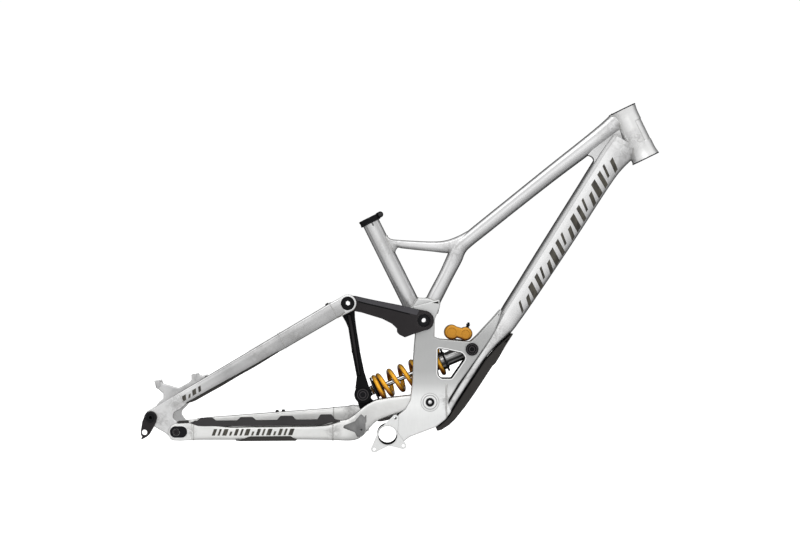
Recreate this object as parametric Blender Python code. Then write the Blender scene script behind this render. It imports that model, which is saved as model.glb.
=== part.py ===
# Full-suspension downhill bicycle frame, with its coil shock.
# World frame: +X forward, +Y to the rider's left, +Z up; origin at the bottom
# centre of the whole frame's box, on its mid plane. Dimensions below are in
# millimetres from the centre of the bottom bracket shell, and BB_CENTRE places
# that centre in the world; the meshes are written in metres.

import math

import bpy
from mathutils import Vector

MM = 0.001

# ---------------------------------------------------------------- dimensions
BB_CENTRE = (-26.435, 0.0, 32.91)     # bottom bracket centre in the world

# pivots, as (x, z) in the frame's mid plane
MAIN = (80.4, 62.3)        # chainstay and lower link turn here
ROCK = (69.0, 217.2)       # rocker link on the mast
UPPER = (-75.4, 249.7)     # rocker, seatstay and strut meet here
HORST = (-397.4, 7.8)      # chainstay to seatstay
AXLE = (-445.8, 35.2)      # rear wheel axle
SEYE = (-46.9, 76.4)       # strut, lower link and shock shaft
FEYE = (160.0, 162.7)      # shock front eye

HUB_HALF = 74.0            # half of the 148 mm rear hub
BB_R, BB_BORE, BB_HALF = 19.8, 17.4, 41.5
PLATE_IN, PLATE_OUT = 32.0, 39.0      # side plates of the mast and yoke
ARM_IN, ARM_OUT = 39.6, 48.4          # rocker arms
STAY_IN, STAY_OUT = 49.0, 58.0        # seatstay front ends
DROP_OUT = 82.0                       # dropout plates run from HUB_HALF to here
HORST_IN, HORST_OUT = 82.6, 89.0      # chainstay rear ends
FORK_IN, FORK_OUT = 20.8, 31.2        # chainstay front arms and strut eyes
LINK_IN, LINK_OUT = 12.6, 19.9        # lower link arms
GAP = 0.35

HEAD_TOP, HEAD_BOT = (446.5, 618.9), (492.3, 525.0)
HEAD_R, HEAD_BORE = 26.8, 22.0
SEAT_TOP = (-36.4, 412.6)
SEAT_R, SEAT_BORE = 16.6, 13.7
SEAT_DIR = (0.4449, -0.8956)          # down the seat tube

WIRE_R, COIL_R = 4.4, 22.2            # coil spring wire and mean radius
SPRING_LO, SPRING_HI = 26.6, 167.3    # spring ends, measured from SEYE
EYE_TO_EYE = math.dist(SEYE, FEYE)
SH = ((FEYE[0] - SEYE[0]) / EYE_TO_EYE, (FEYE[1] - SEYE[1]) / EYE_TO_EYE)

SEG = 14                              # facets of a round piece

# ------------------------------------------------------------------ clean up
for ob in list(bpy.data.objects):
    bpy.data.objects.remove(ob, do_unlink=True)

MATS = {}


def material(name, rgb, rough, metal):
    m = bpy.data.materials.new(name)
    m.use_nodes = True
    b = m.node_tree.nodes["Principled BSDF"]
    b.inputs["Base Color"].default_value = (*rgb, 1.0)
    b.inputs["Roughness"].default_value = rough
    b.inputs["Metallic"].default_value = metal
    m.diffuse_color = (*rgb, 1.0)
    MATS[name] = m
    return m


FINISH = {
    "raw": ((0.78, 0.78, 0.79), 0.32, 1.0),
    "satin": ((0.72, 0.72, 0.72), 0.45, 1.0),
    "black": ((0.025, 0.025, 0.027), 0.42, 0.6),
    "rubber": ((0.022, 0.020, 0.019), 0.75, 0.0),
    "steel": ((0.62, 0.62, 0.63), 0.25, 1.0),
    "chrome": ((0.85, 0.85, 0.86), 0.08, 1.0),
    "gold": ((0.80, 0.42, 0.04), 0.35, 0.3),
    "dark": ((0.08, 0.08, 0.085), 0.35, 0.9),
}


# ------------------------------------------------------------- mesh builders
def solid(verts, faces):
    """A temporary object from millimetre points, faces turned outwards."""
    me = bpy.data.meshes.new("tmp")
    me.from_pydata([(x * MM, y * MM, z * MM) for x, y, z in verts], [], faces)
    vol = 0.0
    for p in me.polygons:
        v0 = me.vertices[p.vertices[0]].co
        for i in range(1, len(p.vertices) - 1):
            a = me.vertices[p.vertices[i]].co
            b = me.vertices[p.vertices[i + 1]].co
            vol += v0.dot(a.cross(b))
    if vol < 0:
        me.flip_normals()
    me.update()
    ob = bpy.data.objects.new("tmp", me)
    bpy.context.scene.collection.objects.link(ob)
    return ob


def arc(cx, cz, r, a0, a1, n):
    """Points on an arc, angles in degrees from +X towards +Z."""
    return [
        (cx + r * math.cos(math.radians(a0 + (a1 - a0) * i / n)),
         cz + r * math.sin(math.radians(a0 + (a1 - a0) * i / n)))
        for i in range(n + 1)
    ]


def circle(cx, cz, r, n=SEG):
    return arc(cx, cz, r, 0, 360, n)[:-1]


def rounded(pts, seg=2):
    """Corner list (x, z) or (x, z, radius) turned into a closed outline."""
    out = []
    n = len(pts)
    for i, p in enumerate(pts):
        if len(p) == 2 or p[2] <= 0:
            out.append((p[0], p[1]))
            continue
        c = Vector(p[:2])
        a = Vector(pts[i - 1][:2]) - c
        b = Vector(pts[(i + 1) % n][:2]) - c
        la, lb = a.length, b.length
        a.normalize()
        b.normalize()
        half = a.angle(b) / 2
        cut = min(p[2] / math.tan(half), 0.45 * la, 0.45 * lb)
        p0, p2 = c + a * cut, c + b * cut
        for k in range(seg + 1):
            t = k / seg
            q = p0 * (1 - t) ** 2 + c * 2 * t * (1 - t) + p2 * t * t
            out.append((q.x, q.y))
    return out


def prism(pts, y0, y1):
    """Outline in the XZ plane, extruded from y0 to y1."""
    n = len(pts)
    v = [(x, y0, z) for x, z in pts] + [(x, y1, z) for x, z in pts]
    f = [tuple(range(n)), tuple(reversed(range(n, 2 * n)))]
    f += [(i, i + n, (i + 1) % n + n, (i + 1) % n) for i in range(n)]
    return solid(v, f)


def loft(rings):
    """Closed rings of equal length, bridged and capped."""
    n = len(rings[0])
    v = [p for r in rings for p in r]
    f = [tuple(range(n)), tuple(reversed(range((len(rings) - 1) * n, len(rings) * n)))]
    for k in range(len(rings) - 1):
        a = k * n
        for i in range(n):
            j = (i + 1) % n
            f.append((a + i, a + n + i, a + n + j, a + j))
    return solid(v, f)


def section(c, u, v, a, b, n=16, p=3.0):
    """Superellipse ring about c with half sizes a along u and b along v."""
    out = []
    for i in range(n):
        t = 2 * math.pi * (i + 0.5) / n
        ct, st = math.cos(t), math.sin(t)
        x = a * math.copysign(abs(ct) ** (2 / p), ct)
        y = b * math.copysign(abs(st) ** (2 / p), st)
        out.append(tuple(c[k] + u[k] * x + v[k] * y for k in range(3)))
    return out


def pair_loft(pairs, n=16, p=3.0, shrink=0.0):
    """Tube through stations (upper xz, lower xz, y centre, half width)."""
    rings = []
    for up, lo, yc, hw in pairs:
        c = ((up[0] + lo[0]) / 2, yc, (up[1] + lo[1]) / 2)
        d = Vector((up[0] - lo[0], 0, up[1] - lo[1]))
        a = d.length / 2 - shrink
        d.normalize()
        rings.append(section(c, d, (0, 1, 0), a, hw - shrink, n, p))
    return loft(rings)


def basis(axis):
    w = Vector(axis).normalized()
    u = Vector((0, 1, 0)) if abs(w.y) < 0.9 else Vector((1, 0, 0))
    u = (u - w * u.dot(w)).normalized()
    return w, u, w.cross(u)


def turned(profile, origin, axis, n=SEG, ring=False):
    """Profile of (distance along axis, radius). A ring profile is a closed
    loop round the wall; otherwise the ends are capped."""
    w, u, v = basis(axis)
    o = Vector(origin)
    rings = []
    for t, r in profile:
        rings.append([
            tuple(o + w * t + (u * math.cos(2 * math.pi * i / n)
                               + v * math.sin(2 * math.pi * i / n)) * r)
            for i in range(n)])
    if not ring:
        return loft(rings)
    verts = [p for r in rings for p in r]
    m = len(rings)
    f = []
    for k in range(m):
        a, b = k * n, ((k + 1) % m) * n
        for i in range(n):
            j = (i + 1) % n
            f.append((a + i, b + i, b + j, a + j))
    return solid(verts, f)


def cyl(x, z, r, y0, y1, n=SEG):
    return prism(circle(x, z, r, n), y0, y1)


def tube_ring(x, z, r_in, r_out, y0, y1, n=SEG):
    return turned([(0, r_in), (0, r_out), (y1 - y0, r_out), (y1 - y0, r_in)],
                  (x, y0, z), (0, 1, 0), n, ring=True)


def hull(c0, r0, c1, r1, n=6):
    """Outline round two circles."""
    d = math.dist(c0, c1)
    base = math.degrees(math.atan2(c1[1] - c0[1], c1[0] - c0[0]))
    half = math.degrees(math.acos((r0 - r1) / d))
    return (arc(*c1, r1, base - half, base + half, n)
            + arc(*c0, r0, base + half, base + 360 - half, n))


def boolean(a, b, op):
    m = a.modifiers.new("b", "BOOLEAN")
    m.object = b
    m.operation = op
    m.solver = "EXACT"
    deps = bpy.context.evaluated_depsgraph_get()
    me = bpy.data.meshes.new_from_object(a.evaluated_get(deps))
    a.modifiers.clear()
    a.data = me
    bpy.data.objects.remove(b, do_unlink=True)
    return a


def union(first, *rest):
    for r in rest:
        boolean(first, r, "UNION")
    return first


def cut(body, *tools):
    for t in tools:
        boolean(body, t, "DIFFERENCE")
    return body


def finish(name, ob, finish_name, origin=(0, 0, 0), angle=32):
    """Names the piece, gives it its material and moves its origin."""
    me = ob.data
    o = Vector(origin) * MM
    for v in me.vertices:
        v.co -= o
    ob.location = o + Vector(BB_CENTRE) * MM
    ob.name = name
    me.name = name
    me.materials.clear()
    me.materials.append(material(name, *FINISH[finish_name]))
    me.shade_smooth()
    me.set_sharp_from_angle(angle=math.radians(angle))
    me.update()
    return ob


def at(p, y=0.0):
    return (p[0], y, p[1])


def along(t, r=0.0, y=0.0):
    """World point at distance t from SEYE on the shock's axis, r above it."""
    return (SEYE[0] + SH[0] * t - SH[1] * r, y, SEYE[1] + SH[1] * t + SH[0] * r)


SHOCK_AXIS = (SH[0], 0, SH[1])
SIDES = (("right", -1), ("left", 1))


def span(side, a, b):
    """(low, high) y for a layer a..b from the mid plane on one side."""
    return (side * b, side * a) if side < 0 else (a, b)


# ============================================================ front triangle
PLATE = rounded([
    (48, 244), (71, 250, 8), (99, 257.5, 1.5), (99.5, 243, 5), (89.5, 220, 12),
    (88.8, 186, 3), (98, 182, 4), (140, 178.5, 6), (157, 177, 6), (169, 188),
    (204, 226), (216, 240, 3), (212, 220), (203, 196), (189, 174), (151, 120),
    (134, 97), (112, 62), (122, 44, 6), (110, 30, 6), (91.5, 15.2, 10),
    (42, -3.5, 6), (31, -12), (10, -16), (-12, 14), (6, 18),
    (22, 40, 3), (33, 48.5, 8), (43, 66, 10), (47, 100, 20), (48.3, 140, 30),
    (52.5, 190, 12),
])
WINDOW = rounded([
    (95.5, 164, 3), (95.5, 114, 9), (103, 107.6, 4), (121, 107.6, 5),
    (147.5, 146, 7), (141, 155, 8), (112, 161.5, 4),
], seg=3)


def down_tube(shrink=0.0):
    n = (0.8514, -0.5245)
    d = (0.5245, 0.8514)
    pairs = []
    for s, top, bot, hw in (
            (726, 60, 117, 23), (672, 60, 115, 24), (645, 60, 113, 24.5),
            (600, 60, 111, 25),
            (520, 59.5, 110, 26), (430, 59, 107, 28), (360, 59, 104, 31),
            (318, 59, 101, 33.5)):
        pairs.append(((n[0] * top + d[0] * s, n[1] * top + d[1] * s),
                      (n[0] * bot + d[0] * s, n[1] * bot + d[1] * s), 0, hw))
    for up, lo, hw in (
            ((200, 207), (233.5, 192), 36), ((184, 174), (206, 167), 37),
            ((161, 137), (184, 142), 37.8), ((137, 100), (159, 104), 38.3),
            ((115, 64), (135, 67), 38.5), ((101, 38), (115, 35), 38.5),
            ((88, 26), (99, 20), 38)):
        pairs.append((up, lo, 0, hw))
    if shrink:                       # the hollow opens into the head tube
        s, top, bot = 702, 60, 116
        pairs[0] = ((n[0] * top + d[0] * s, n[1] * top + d[1] * s),
                    (n[0] * bot + d[0] * s, n[1] * bot + d[1] * s), 0, 22)
        pairs = pairs[:8]
    return pair_loft(pairs, 14, 3.4, shrink)


def top_tube(shrink=0.0):
    n = (-0.6274, 0.7787)
    d = (0.7787, 0.6274)
    pairs = []
    for s, top, bot, hw in (
            (724, 205.5, 172, 20), (690, 205.5, 172.5, 20), (640, 205.5, 174, 20),
            (560, 206, 176, 19.5), (470, 206, 177.5, 19), (390, 206, 178, 18.5),
            (350, 205.8, 178.3, 18.5)):
        pairs.append(((n[0] * top + d[0] * s, n[1] * top + d[1] * s),
                      (n[0] * bot + d[0] * s, n[1] * bot + d[1] * s), 0, hw))
    for up, lo, hw in (
            ((124, 366), (149.5, 348), 18.5), ((113, 340), (141, 329), 18.5),
            ((100, 311), (124, 298), 19), ((81, 275), (105, 260.5), 20),
            ((66, 247), (92, 236), 21)):
        pairs.append((up, lo, 0, hw))
    if shrink:                       # the hollow opens into the head tube
        s, top, bot = 738, 203, 176
        pairs[0] = ((n[0] * top + d[0] * s, n[1] * top + d[1] * s),
                    (n[0] * bot + d[0] * s, n[1] * bot + d[1] * s), 0, 15)
        pairs = pairs[:-1]
    return pair_loft(pairs, 12, 3.2, shrink)


brace = pair_loft([
    ((-9, 373), (-4, 358), 0, 11), ((10, 371.3), (14, 356.2), 0, 11),
    ((43, 369), (43, 352), 0, 11.5), ((88, 367.3), (86, 347.8), 0, 13),
    ((110, 370), (111, 344.8), 0, 14.5), ((131, 375), (131, 345), 0, 15.5)],
    10, 3.0)

seat_len = 205.0
seat_tube = turned([(0, SEAT_R), (seat_len, SEAT_R)], at(SEAT_TOP),
                   (SEAT_DIR[0], 0, SEAT_DIR[1]), 18)
head_len = math.dist(HEAD_TOP, HEAD_BOT)
HEAD_AXIS = ((HEAD_BOT[0] - HEAD_TOP[0]) / head_len, 0,
             (HEAD_BOT[1] - HEAD_TOP[1]) / head_len)
head_tube = turned([
    (1.6, HEAD_R), (9, HEAD_R), (17, HEAD_R - 1.3), (52, HEAD_R - 1.9),
    (88, HEAD_R - 1.2), (96, HEAD_R + 0.4), (head_len - 1.6, HEAD_R + 0.4)],
    at(HEAD_TOP), HEAD_AXIS, 22)

top_block = prism(rounded([(43, 233), (95, 231), (98, 243, 3), (98, 256),
                           (71, 249, 8), (44, 242)]), -33, 33)
bb_block = prism([(6, 17), (22, 27), (60, 34), (100, 36), (112, 46), (108, 28),
                  (91, 15.6), (43, -2.8), (30, -11), (8, -15)], -33, 33)
bb_shell = cyl(0, 0, BB_R, -BB_HALF, BB_HALF, 24)
frame = union(top_block, prism(PLATE, PLATE_IN, PLATE_OUT),
              prism(PLATE, -PLATE_OUT, -PLATE_IN), bb_block, bb_shell,
              down_tube(), top_tube(), brace, seat_tube, head_tube)
TABS = ((-25.3, -26.6), (29.6, -20.1), (14.8, 32.3))
for tx, tz in TABS:
    k = 10.0 / math.hypot(tx, tz)
    frame = union(frame, prism(hull((tx * k, tz * k), 11, (tx, tz), 6.4),
                               -BB_HALF + 0.6, -36.5))
frame = cut(
    frame,
    turned([(-30, 45), (1.6, 45)], at(HEAD_TOP), HEAD_AXIS, 12),
    turned([(head_len - 1.6, 45), (head_len + 30, 45)], at(HEAD_TOP),
           HEAD_AXIS, 12),
    cyl(0, 0, BB_BORE, -60, 60, 24),
    turned([(-20, HEAD_BORE), (head_len + 20, HEAD_BORE)], at(HEAD_TOP),
           HEAD_AXIS, 22),
    turned([(-20, SEAT_BORE), (150, SEAT_BORE)], at(SEAT_TOP),
           (SEAT_DIR[0], 0, SEAT_DIR[1]), 18),
    down_tube(2.2), top_tube(2.0),
    prism(WINDOW, -60, 60),
    cyl(*MAIN, 6.5, -60, 60), cyl(*ROCK, 8.2, -60, 60), cyl(*FEYE, 5.4, -60, 60),
    *[cyl(tx, tz, 2.6, -60, -30, 12) for tx, tz in TABS])
finish("front_triangle", frame, "raw")

# headset cups: thin lips with a skirt pressed into the head tube
for nm, p, ax in (("headset_cup_upper", HEAD_TOP, HEAD_AXIS),
                  ("headset_cup_lower", HEAD_BOT,
                   tuple(-c for c in HEAD_AXIS))):
    ring = turned([(0, 19.2), (0, 27.4), (1.2, 27.4), (1.2, HEAD_BORE - 0.3),
                   (13, HEAD_BORE - 0.3), (13, 19.2)], at(p), ax, 22, ring=True)
    finish(nm, ring, "black", at(p))

# seat collar with its clamp lug and bolt
n_out = (0.8956, 0.4449)
lug = (SEAT_TOP[0] + n_out[0] * 23.0 + SEAT_DIR[0] * 4.5,
       SEAT_TOP[1] + n_out[1] * 23.0 + SEAT_DIR[1] * 4.5)
collar = turned([(0.4, SEAT_R + GAP), (0.4, 20.4), (11.5, 20.4),
                 (11.5, SEAT_R + GAP)], at(SEAT_TOP),
                (SEAT_DIR[0], 0, SEAT_DIR[1]), 18, ring=True)
bridge = prism(hull((lug[0] - n_out[0] * 4.0, lug[1] - n_out[1] * 4.0), 4.9,
                    lug, 4.9), -8, 8)
slot = prism([(lug[0] + n_out[0] * s - SEAT_DIR[0] * t,
               lug[1] + n_out[1] * s - SEAT_DIR[1] * t)
              for s, t in ((8, -9), (8, 9), (-7.2, 9), (-7.2, -9))], -0.9, 0.9)
inner = turned([(-6, SEAT_R + GAP), (20, SEAT_R + GAP)], at(SEAT_TOP),
               (SEAT_DIR[0], 0, SEAT_DIR[1]), 18)
collar = cut(union(collar, bridge), inner, slot, cyl(*lug, 2.8, -12, 12, 12))
finish("seat_collar", collar, "black", at(SEAT_TOP))
bolt = union(cyl(*lug, 2.5, -7.5, 11.6, 12), cyl(*lug, 4.0, 8.4, 11.6, 12))
finish("seat_collar_bolt", bolt, "steel", at(lug))

# rubber guard under the down tube
guard = prism(rounded([
    (234.8, 191.5), (238.8, 192.5, 1), (222, 166), (213, 149, 4),
    (204.5, 135.5, 6), (199, 130.5, 4), (166, 80), (147, 53, 8), (128, 29.5, 6),
    (117, 19, 4), (102, 9.5, 3), (94, 7.5, 2), (91.8, 13.6, 1), (100, 18.8, 3),
    (116.2, 34.2), (136.2, 66.2), (160.2, 103.2), (185.2, 141.2),
    (207, 166)]), -33, 33)
finish("downtube_guard", guard, "rubber")

# axles and bolts held by the front triangle
axle = union(cyl(*MAIN, 6.0, -39.6, 39.6), cyl(*MAIN, 7.4, -41.0, -39.3),
             cyl(*MAIN, 7.4, 39.3, 41.0))
finish("main_axle", cut(axle, cyl(*MAIN, 3.0, -42, 42, 12)), "black", at(MAIN))
finish("rocker_axle", tube_ring(*ROCK, 4.6, 7.9, -48.0, 48.0), "steel", at(ROCK))
bolt = union(cyl(*FEYE, 5.0, -39.5, 41.5, 16), cyl(*FEYE, 12.2, -42.5, -39.35))
bolt = union(bolt, cyl(*FEYE, 9.0, 39.35, 42.5))
finish("shock_mount_bolt", bolt, "black", at(FEYE))

# ================================================================= chainstay
RIGHT_STAY = (
    (-385, -7.5, 22.5, 84.5, 3.6), (-372, -7.2, 24.5, 83.6, 4.6),
    (-350, -6.8, 27, 81, 6.5), (-300, -7, 18.0, 75, 8.5),
    (-250, -7, 18.0, 68, 9.5), (-175, -7.4, 18.5, 57, 10),
    (-116, -8.4, 20, 49, 10.5), (-92, -9.4, 27.6, 45.5, 11.5),
    (-77, -10, 30.5, 43, 12), (-66, -9.5, 37, 40, 12), (-55, -6.5, 46, 36.5, 11.5),
    (-45, 0.5, 54, 33, 10), (-35, 12.5, 60, 29.5, 8), (-22, 25, 65.8, 27, 6),
    (-8, 31, 68.5, 26, 5.2), (12, 38.0, 71.5, 26, 5.2),
    (32, 44.5, 73.8, 26, 5.2), (50, 46.4, 75.6, 26, 5.2),
    (76, 47.2, 77.5, 26, 5.2))
LEFT_STAY = (
    (-385, -7.5, 22.5, 84.5, 3.6), (-372, -7.2, 25.5, 83.6, 4.6),
    (-350, -6.0, 29, 81, 6.5), (-300, 0, 33.2, 75, 8.5),
    (-250, 6, 37.4, 68, 9.5), (-175, 12, 43.4, 57, 10),
    (-116, 10, 48.4, 49, 10.5), (-92, 0, 51, 45.5, 11.5),
    (-77, -8, 52.4, 43, 12), (-66, -9.5, 55, 40, 12), (-55, -6.5, 54, 36.5, 11.5),
    (-45, 0.5, 56, 33, 10), (-35, 12.5, 60, 29.5, 8), (-22, 25, 65.8, 27, 6),
    (-8, 31, 68.5, 26, 5.2), (12, 38.0, 71.5, 26, 5.2),
    (32, 44.5, 73.8, 26, 5.2), (50, 46.4, 75.6, 26, 5.2),
    (76, 47.2, 77.5, 26, 5.2))


def ribbon(stations, side):
    return loft([section((x, side * yc, (lo + hi) / 2), (0, 0, 1), (0, 1, 0),
                         (hi - lo) / 2, hw, 10, 3.6)
                 for x, lo, hi, yc, hw in stations])


HORST_END = rounded([
    (-372, 24.2), (-388, 24.0, 4), (-406, 22.3, 9), (-414.5, 8, 12),
    (-408, -7.5, 10), (-390, -8.2), (-372, -7.2)], seg=3)
stay = prism([(-59, 2, ), (-37, 8), (-37, 33), (-44, 38), (-59, 34)], -33, 33)
for side, st in ((-1, RIGHT_STAY), (1, LEFT_STAY)):
    stay = union(stay, ribbon(st, side),
                 prism(HORST_END, *span(side, HORST_IN, HORST_OUT)),
                 cyl(*MAIN, 16.2, *span(side, FORK_IN, FORK_OUT)))
# relief in the outer face of the drive-side yoke
POCKET = rounded([(-62, 27, 3), (-50, 41, 3), (-38, 28, 4), (-35.5, 19, 4),
                  (-43, 3, 4), (-57, -4.5, 4), (-62, 6, 3), (-84, 14.5, 4),
                  (-83, 19, 3)])
stay = cut(stay, prism(POCKET, -60, -41.5),
           cyl(*MAIN, 11.2, -33, 33),
           cyl(*HORST, 5.3, -95, 95, 12))
# keep the layer inside the dropouts clear
for side in (-1, 1):
    stay = cut(stay, prism(rounded([(-425, -16), (-384, -16), (-376, 6),
                                    (-376, 34), (-425, 34)]),
                           *span(side, 60, HORST_IN)))
finish("chainstay", stay, "raw", at(MAIN))

for nm, side in SIDES:
    y0, y1 = span(side, FORK_IN + 1.4, FORK_OUT - 1.4)
    finish("main_bearing_" + nm, tube_ring(*MAIN, 6.3, 10.9, y0, y1),
           "steel", at(MAIN))
    cover = prism(hull((-398.6, 8.4), 10.6, (-387.4, 8.4), 10.6),
                  *span(side, HORST_OUT + 0.3, HORST_OUT + 2.8))
    cover = cut(cover, cyl(*HORST, 5.6, -95, 95, 12))
    finish("horst_cap_" + nm, cover, "black", at(HORST))
    b = union(cyl(*HORST, 5.0, *span(side, HORST_IN + 0.2, HORST_OUT + 2.0), 16),
              cyl(*HORST, 5.3, *span(side, HORST_OUT + 0.5, HORST_OUT + 3.2), 16))
    finish("horst_bolt_" + nm, b, "black", at(HORST))


def rib_top(x):
    """Top line of the ribbed guard: a base with four raised pads."""
    z = 30.0
    for a, b in ((-350, -330), (-277, -254), (-202, -180), (-126, -108)):
        if a - 7 < x < b + 8:
            k = min(1.0, (x - a + 7) / 7, (b + 8 - x) / 8)
            z = max(z, 30.0 + k * (5.6 if x < -150 else 8.2))
    return z


xs = [-371, -364, -357, -350, -330, -322, -284, -277, -254, -246, -209, -202,
      -180, -172, -133, -126, -108, -100, -91]
tops = [(x, rib_top(x)) for x in xs[:-1]] + [(-91, 28.8)]
bots = [(-371, 25.0), (-364, 21.5), (-352, 18.8), (-300, 18.4), (-175, 19.0),
        (-116, 20.6), (-104, 24.3), (-91, 28.2)]


def lerp(table, x):
    for (x0, z0), (x1, z1) in zip(table, table[1:]):
        if x <= x1:
            return z0 + (z1 - z0) * (x - x0) / (x1 - x0)
    return table[-1][1]


def stay_y(x):
    return lerp([(s[0], s[3]) for s in RIGHT_STAY], x)


def stay_hw(x):
    return lerp([(s[0], s[4]) for s in RIGHT_STAY], x)


rings = []
for x, z in tops:
    lo = lerp(bots, x) + 0.2
    hi = max(z, lo + 0.8)
    yc, hw = -stay_y(x), stay_hw(x) + 1.4
    rings.append([(x, yc + sy * hw, lo if sz < 0 else hi)
                  for sy, sz in ((-1, -1), (1, -1), (1, 1), (-1, 1))])
pad = loft(rings)
keep_off = ribbon([(x, lo - 0.6, hi + 0.6, yc, hw + 0.6)
                   for x, lo, hi, yc, hw in RIGHT_STAY], -1)
finish("chainstay_guard_upper", cut(pad, keep_off), "rubber", at(MAIN))

rings = []
for x, lo, hi in ((-286, -9.4, -6.9), (-272, -9.7, -5.6), (-260, -9.7, 0.1),
                  (-184, -9.7, 0.1), (-175, -9.7, -6.4), (-171.5, -9.6, -7.4)):
    yc, hw = -stay_y(x), stay_hw(x) + 1.4
    rings.append([(x, yc + sy * hw, lo if sz < 0 else hi)
                  for sy, sz in ((-1, -1), (1, -1), (1, 1), (-1, 1))])
keep_off = ribbon([(x, lo - 0.4, hi + 0.4, yc, hw + 0.4)
                   for x, lo, hi, yc, hw in RIGHT_STAY], -1)
finish("chainstay_guard_lower", cut(loft(rings), keep_off), "rubber", at(MAIN))

tab = prism(rounded([(-398, 26), (-392, 24.9), (-373, 25.6), (-375, 30, 1.5),
                     (-392, 29, 2)]), -87.4, -82.9)
finish("chainstay_rear_tab", tab, "rubber", at(MAIN))
yg = prism([(-19, 26.6), (-12, 29.0), (10, 36.2), (26, 41.6), (27, 40.4), (10, 32.6),
            (0, 28.4), (-12, 26.0)], -31, -21)
finish("yoke_guard", yg, "rubber", at(MAIN))
for nm, x in (("hose_clip_rear", -212), ("hose_clip_front", -200)):
    z = lerp([(s[0], s[2]) for s in LEFT_STAY], x) + 0.35
    y = lerp([(s[0], s[3]) for s in LEFT_STAY], x)
    finish(nm, prism(rounded([(x - 3, z), (x - 2.4, z + 3.4, 1), (x + 2.4, z + 3.8, 1),
                              (x + 3, z + 0.5)]), y - 4, y + 4), "rubber", at(MAIN))

# ==================================================================== rocker
ROCKER = (
    arc(*UPPER, 15.0, 248, 75, 9)
    + [(-43, 259.3), (-5, 251.5), (33, 244.0), (60, 238.0)]
    + arc(*ROCK, 18.8, 78, -68, 8)
    + rounded([(61, 194.4), (50, 191.8, 2), (44.5, 187.2, 2), (34, 184.8, 3),
               (22, 189.6, 2), (17.4, 194, 2), (17.6, 201, 3), (8, 211.2, 8),
               (-10, 220.4, 10), (-50, 232.6)]))
rocker = union(prism(ROCKER, -ARM_OUT, -ARM_IN),
               cyl(30, 196, 5.5, -ARM_IN - 3, ARM_IN + 3, 14),
               prism(ROCKER, ARM_IN, ARM_OUT))
rocker = cut(rocker, cyl(*ROCK, 12.2, -60, 60), cyl(*UPPER, 7.0, -60, 60, 12))
finish("rocker_link", rocker, "black", at(ROCK))
for nm, side in SIDES:
    y0, y1 = span(side, ARM_IN + 1, ARM_OUT - 0.6)
    finish("rocker_bearing_" + nm, tube_ring(*ROCK, 8.2, 11.9, y0, y1),
           "steel", at(ROCK))
    # hollow pivot bolt that joins rocker, seatstay and strut
    b = turned([(0, 4.4), (0, 10.8), (1.9, 10.8), (1.9, 6.6), (27.6, 6.6),
                (27.6, 4.4)], at(UPPER, side * 60.4), (0, -side, 0), 12, ring=True)
    finish("upper_pivot_bolt_" + nm, b, "black", at(UPPER))

# ================================================================== seatstay
SS_D, SS_N = (-0.8598, -0.5107), (-0.5107, 0.8598)


def stay_point(s, off):
    return (SS_D[0] * s + SS_N[0] * off, SS_D[1] * s + SS_N[1] * off)


SEAT_STAY = (
    (-46, 270.0, 240.0, 56.0, 6.6), (-30, 271, 239.4, 56.2, 8.0),
    (0, 271, 239.6, 57.5, 9.0), (80, 271, 240.4, 62, 9.2),
    (160, 271, 242, 66.5, 9.2), (240, 271, 245.0, 71.5, 8.6),
    (300, 271, 246.5, 76, 6.5), (318, 271, 247, 77.6, 4.4))
FRONT_END = arc(*UPPER, 16.4, 301, 481, 12) + [stay_point(-40, 269.6),
                                               stay_point(-40, 240.6)]
RIGHT_DROP = rounded([
    stay_point(296, 270.5), (-436.5, 55.6, 3), (-452, 47.5, 6), (-459.2, 36, 8),
    (-453, 22, 6), (-438, 17.4), (-418, 5.8), (-409, -2, 5), (-398, -7.4, 7),
    (-384.5, -3, 7), (-381, 9, 6), (-385, 20, 5), (-395, 26.6, 3),
    (-404, 35, 5), (-402, 45, 5), (-390, 50.6, 4), stay_point(296, 247)])
LEFT_DROP = rounded([
    stay_point(296, 270.5), (-436.5, 55.6, 3), (-452, 47.5, 6), (-459.2, 36, 8),
    (-453, 22, 6), (-438, 17.4), (-418, 5.8), (-409, -2, 5), (-398, -7.4, 7),
    (-384.5, -3, 7), (-381, 9, 6), (-385, 20, 5), (-391, 27.6, 3),
    (-397, 36, 5), (-395, 43, 4), (-386, 52, 4), stay_point(296, 247)])
BRAKE = rounded([
    (-446, 47), (-440, 59, 3), (-431.5, 66, 4), (-431.5, 75, 4), (-444, 86, 4),
    (-448, 100.0), (-435.2, 102.2), (-433, 94.5, 3), (-420, 91, 5),
    (-402, 85.6, 6), (-384, 95.6), (-375.6, 101.5, 3), (-376.4, 112.5),
    (-364.6, 114.6), (-361.5, 110, 2), (-355, 109.5), (-346, 112),
    (-350, 100), (-420, 58)])
stays = union(
    cyl(*stay_point(-30, 254), 6.5, -57, 57, 16))
for side in (-1, 1):
    stays = union(
        stays,
        prism(FRONT_END, *span(side, STAY_IN, STAY_OUT)),
        pair_loft([(stay_point(s, t), stay_point(s, b), side * yc, hw)
                   for s, t, b, yc, hw in SEAT_STAY], 10, 3.4),
        prism(RIGHT_DROP if side < 0 else LEFT_DROP,
              *span(side, HUB_HALF, DROP_OUT)))
stays = union(stays, prism(BRAKE, 69, 81))
stays = cut(stays, cyl(*UPPER, 12.4, *span(-1, 48, 56.6)),
            cyl(*UPPER, 12.4, *span(1, 48, 56.6)),
            cyl(*UPPER, 7.0, -70, 70, 16),
            cyl(*HORST, 11.3, -95, 95), cyl(*AXLE, 6.4, -95, 95, 12))
finish("seatstay", stays, "raw", at(UPPER))

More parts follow.
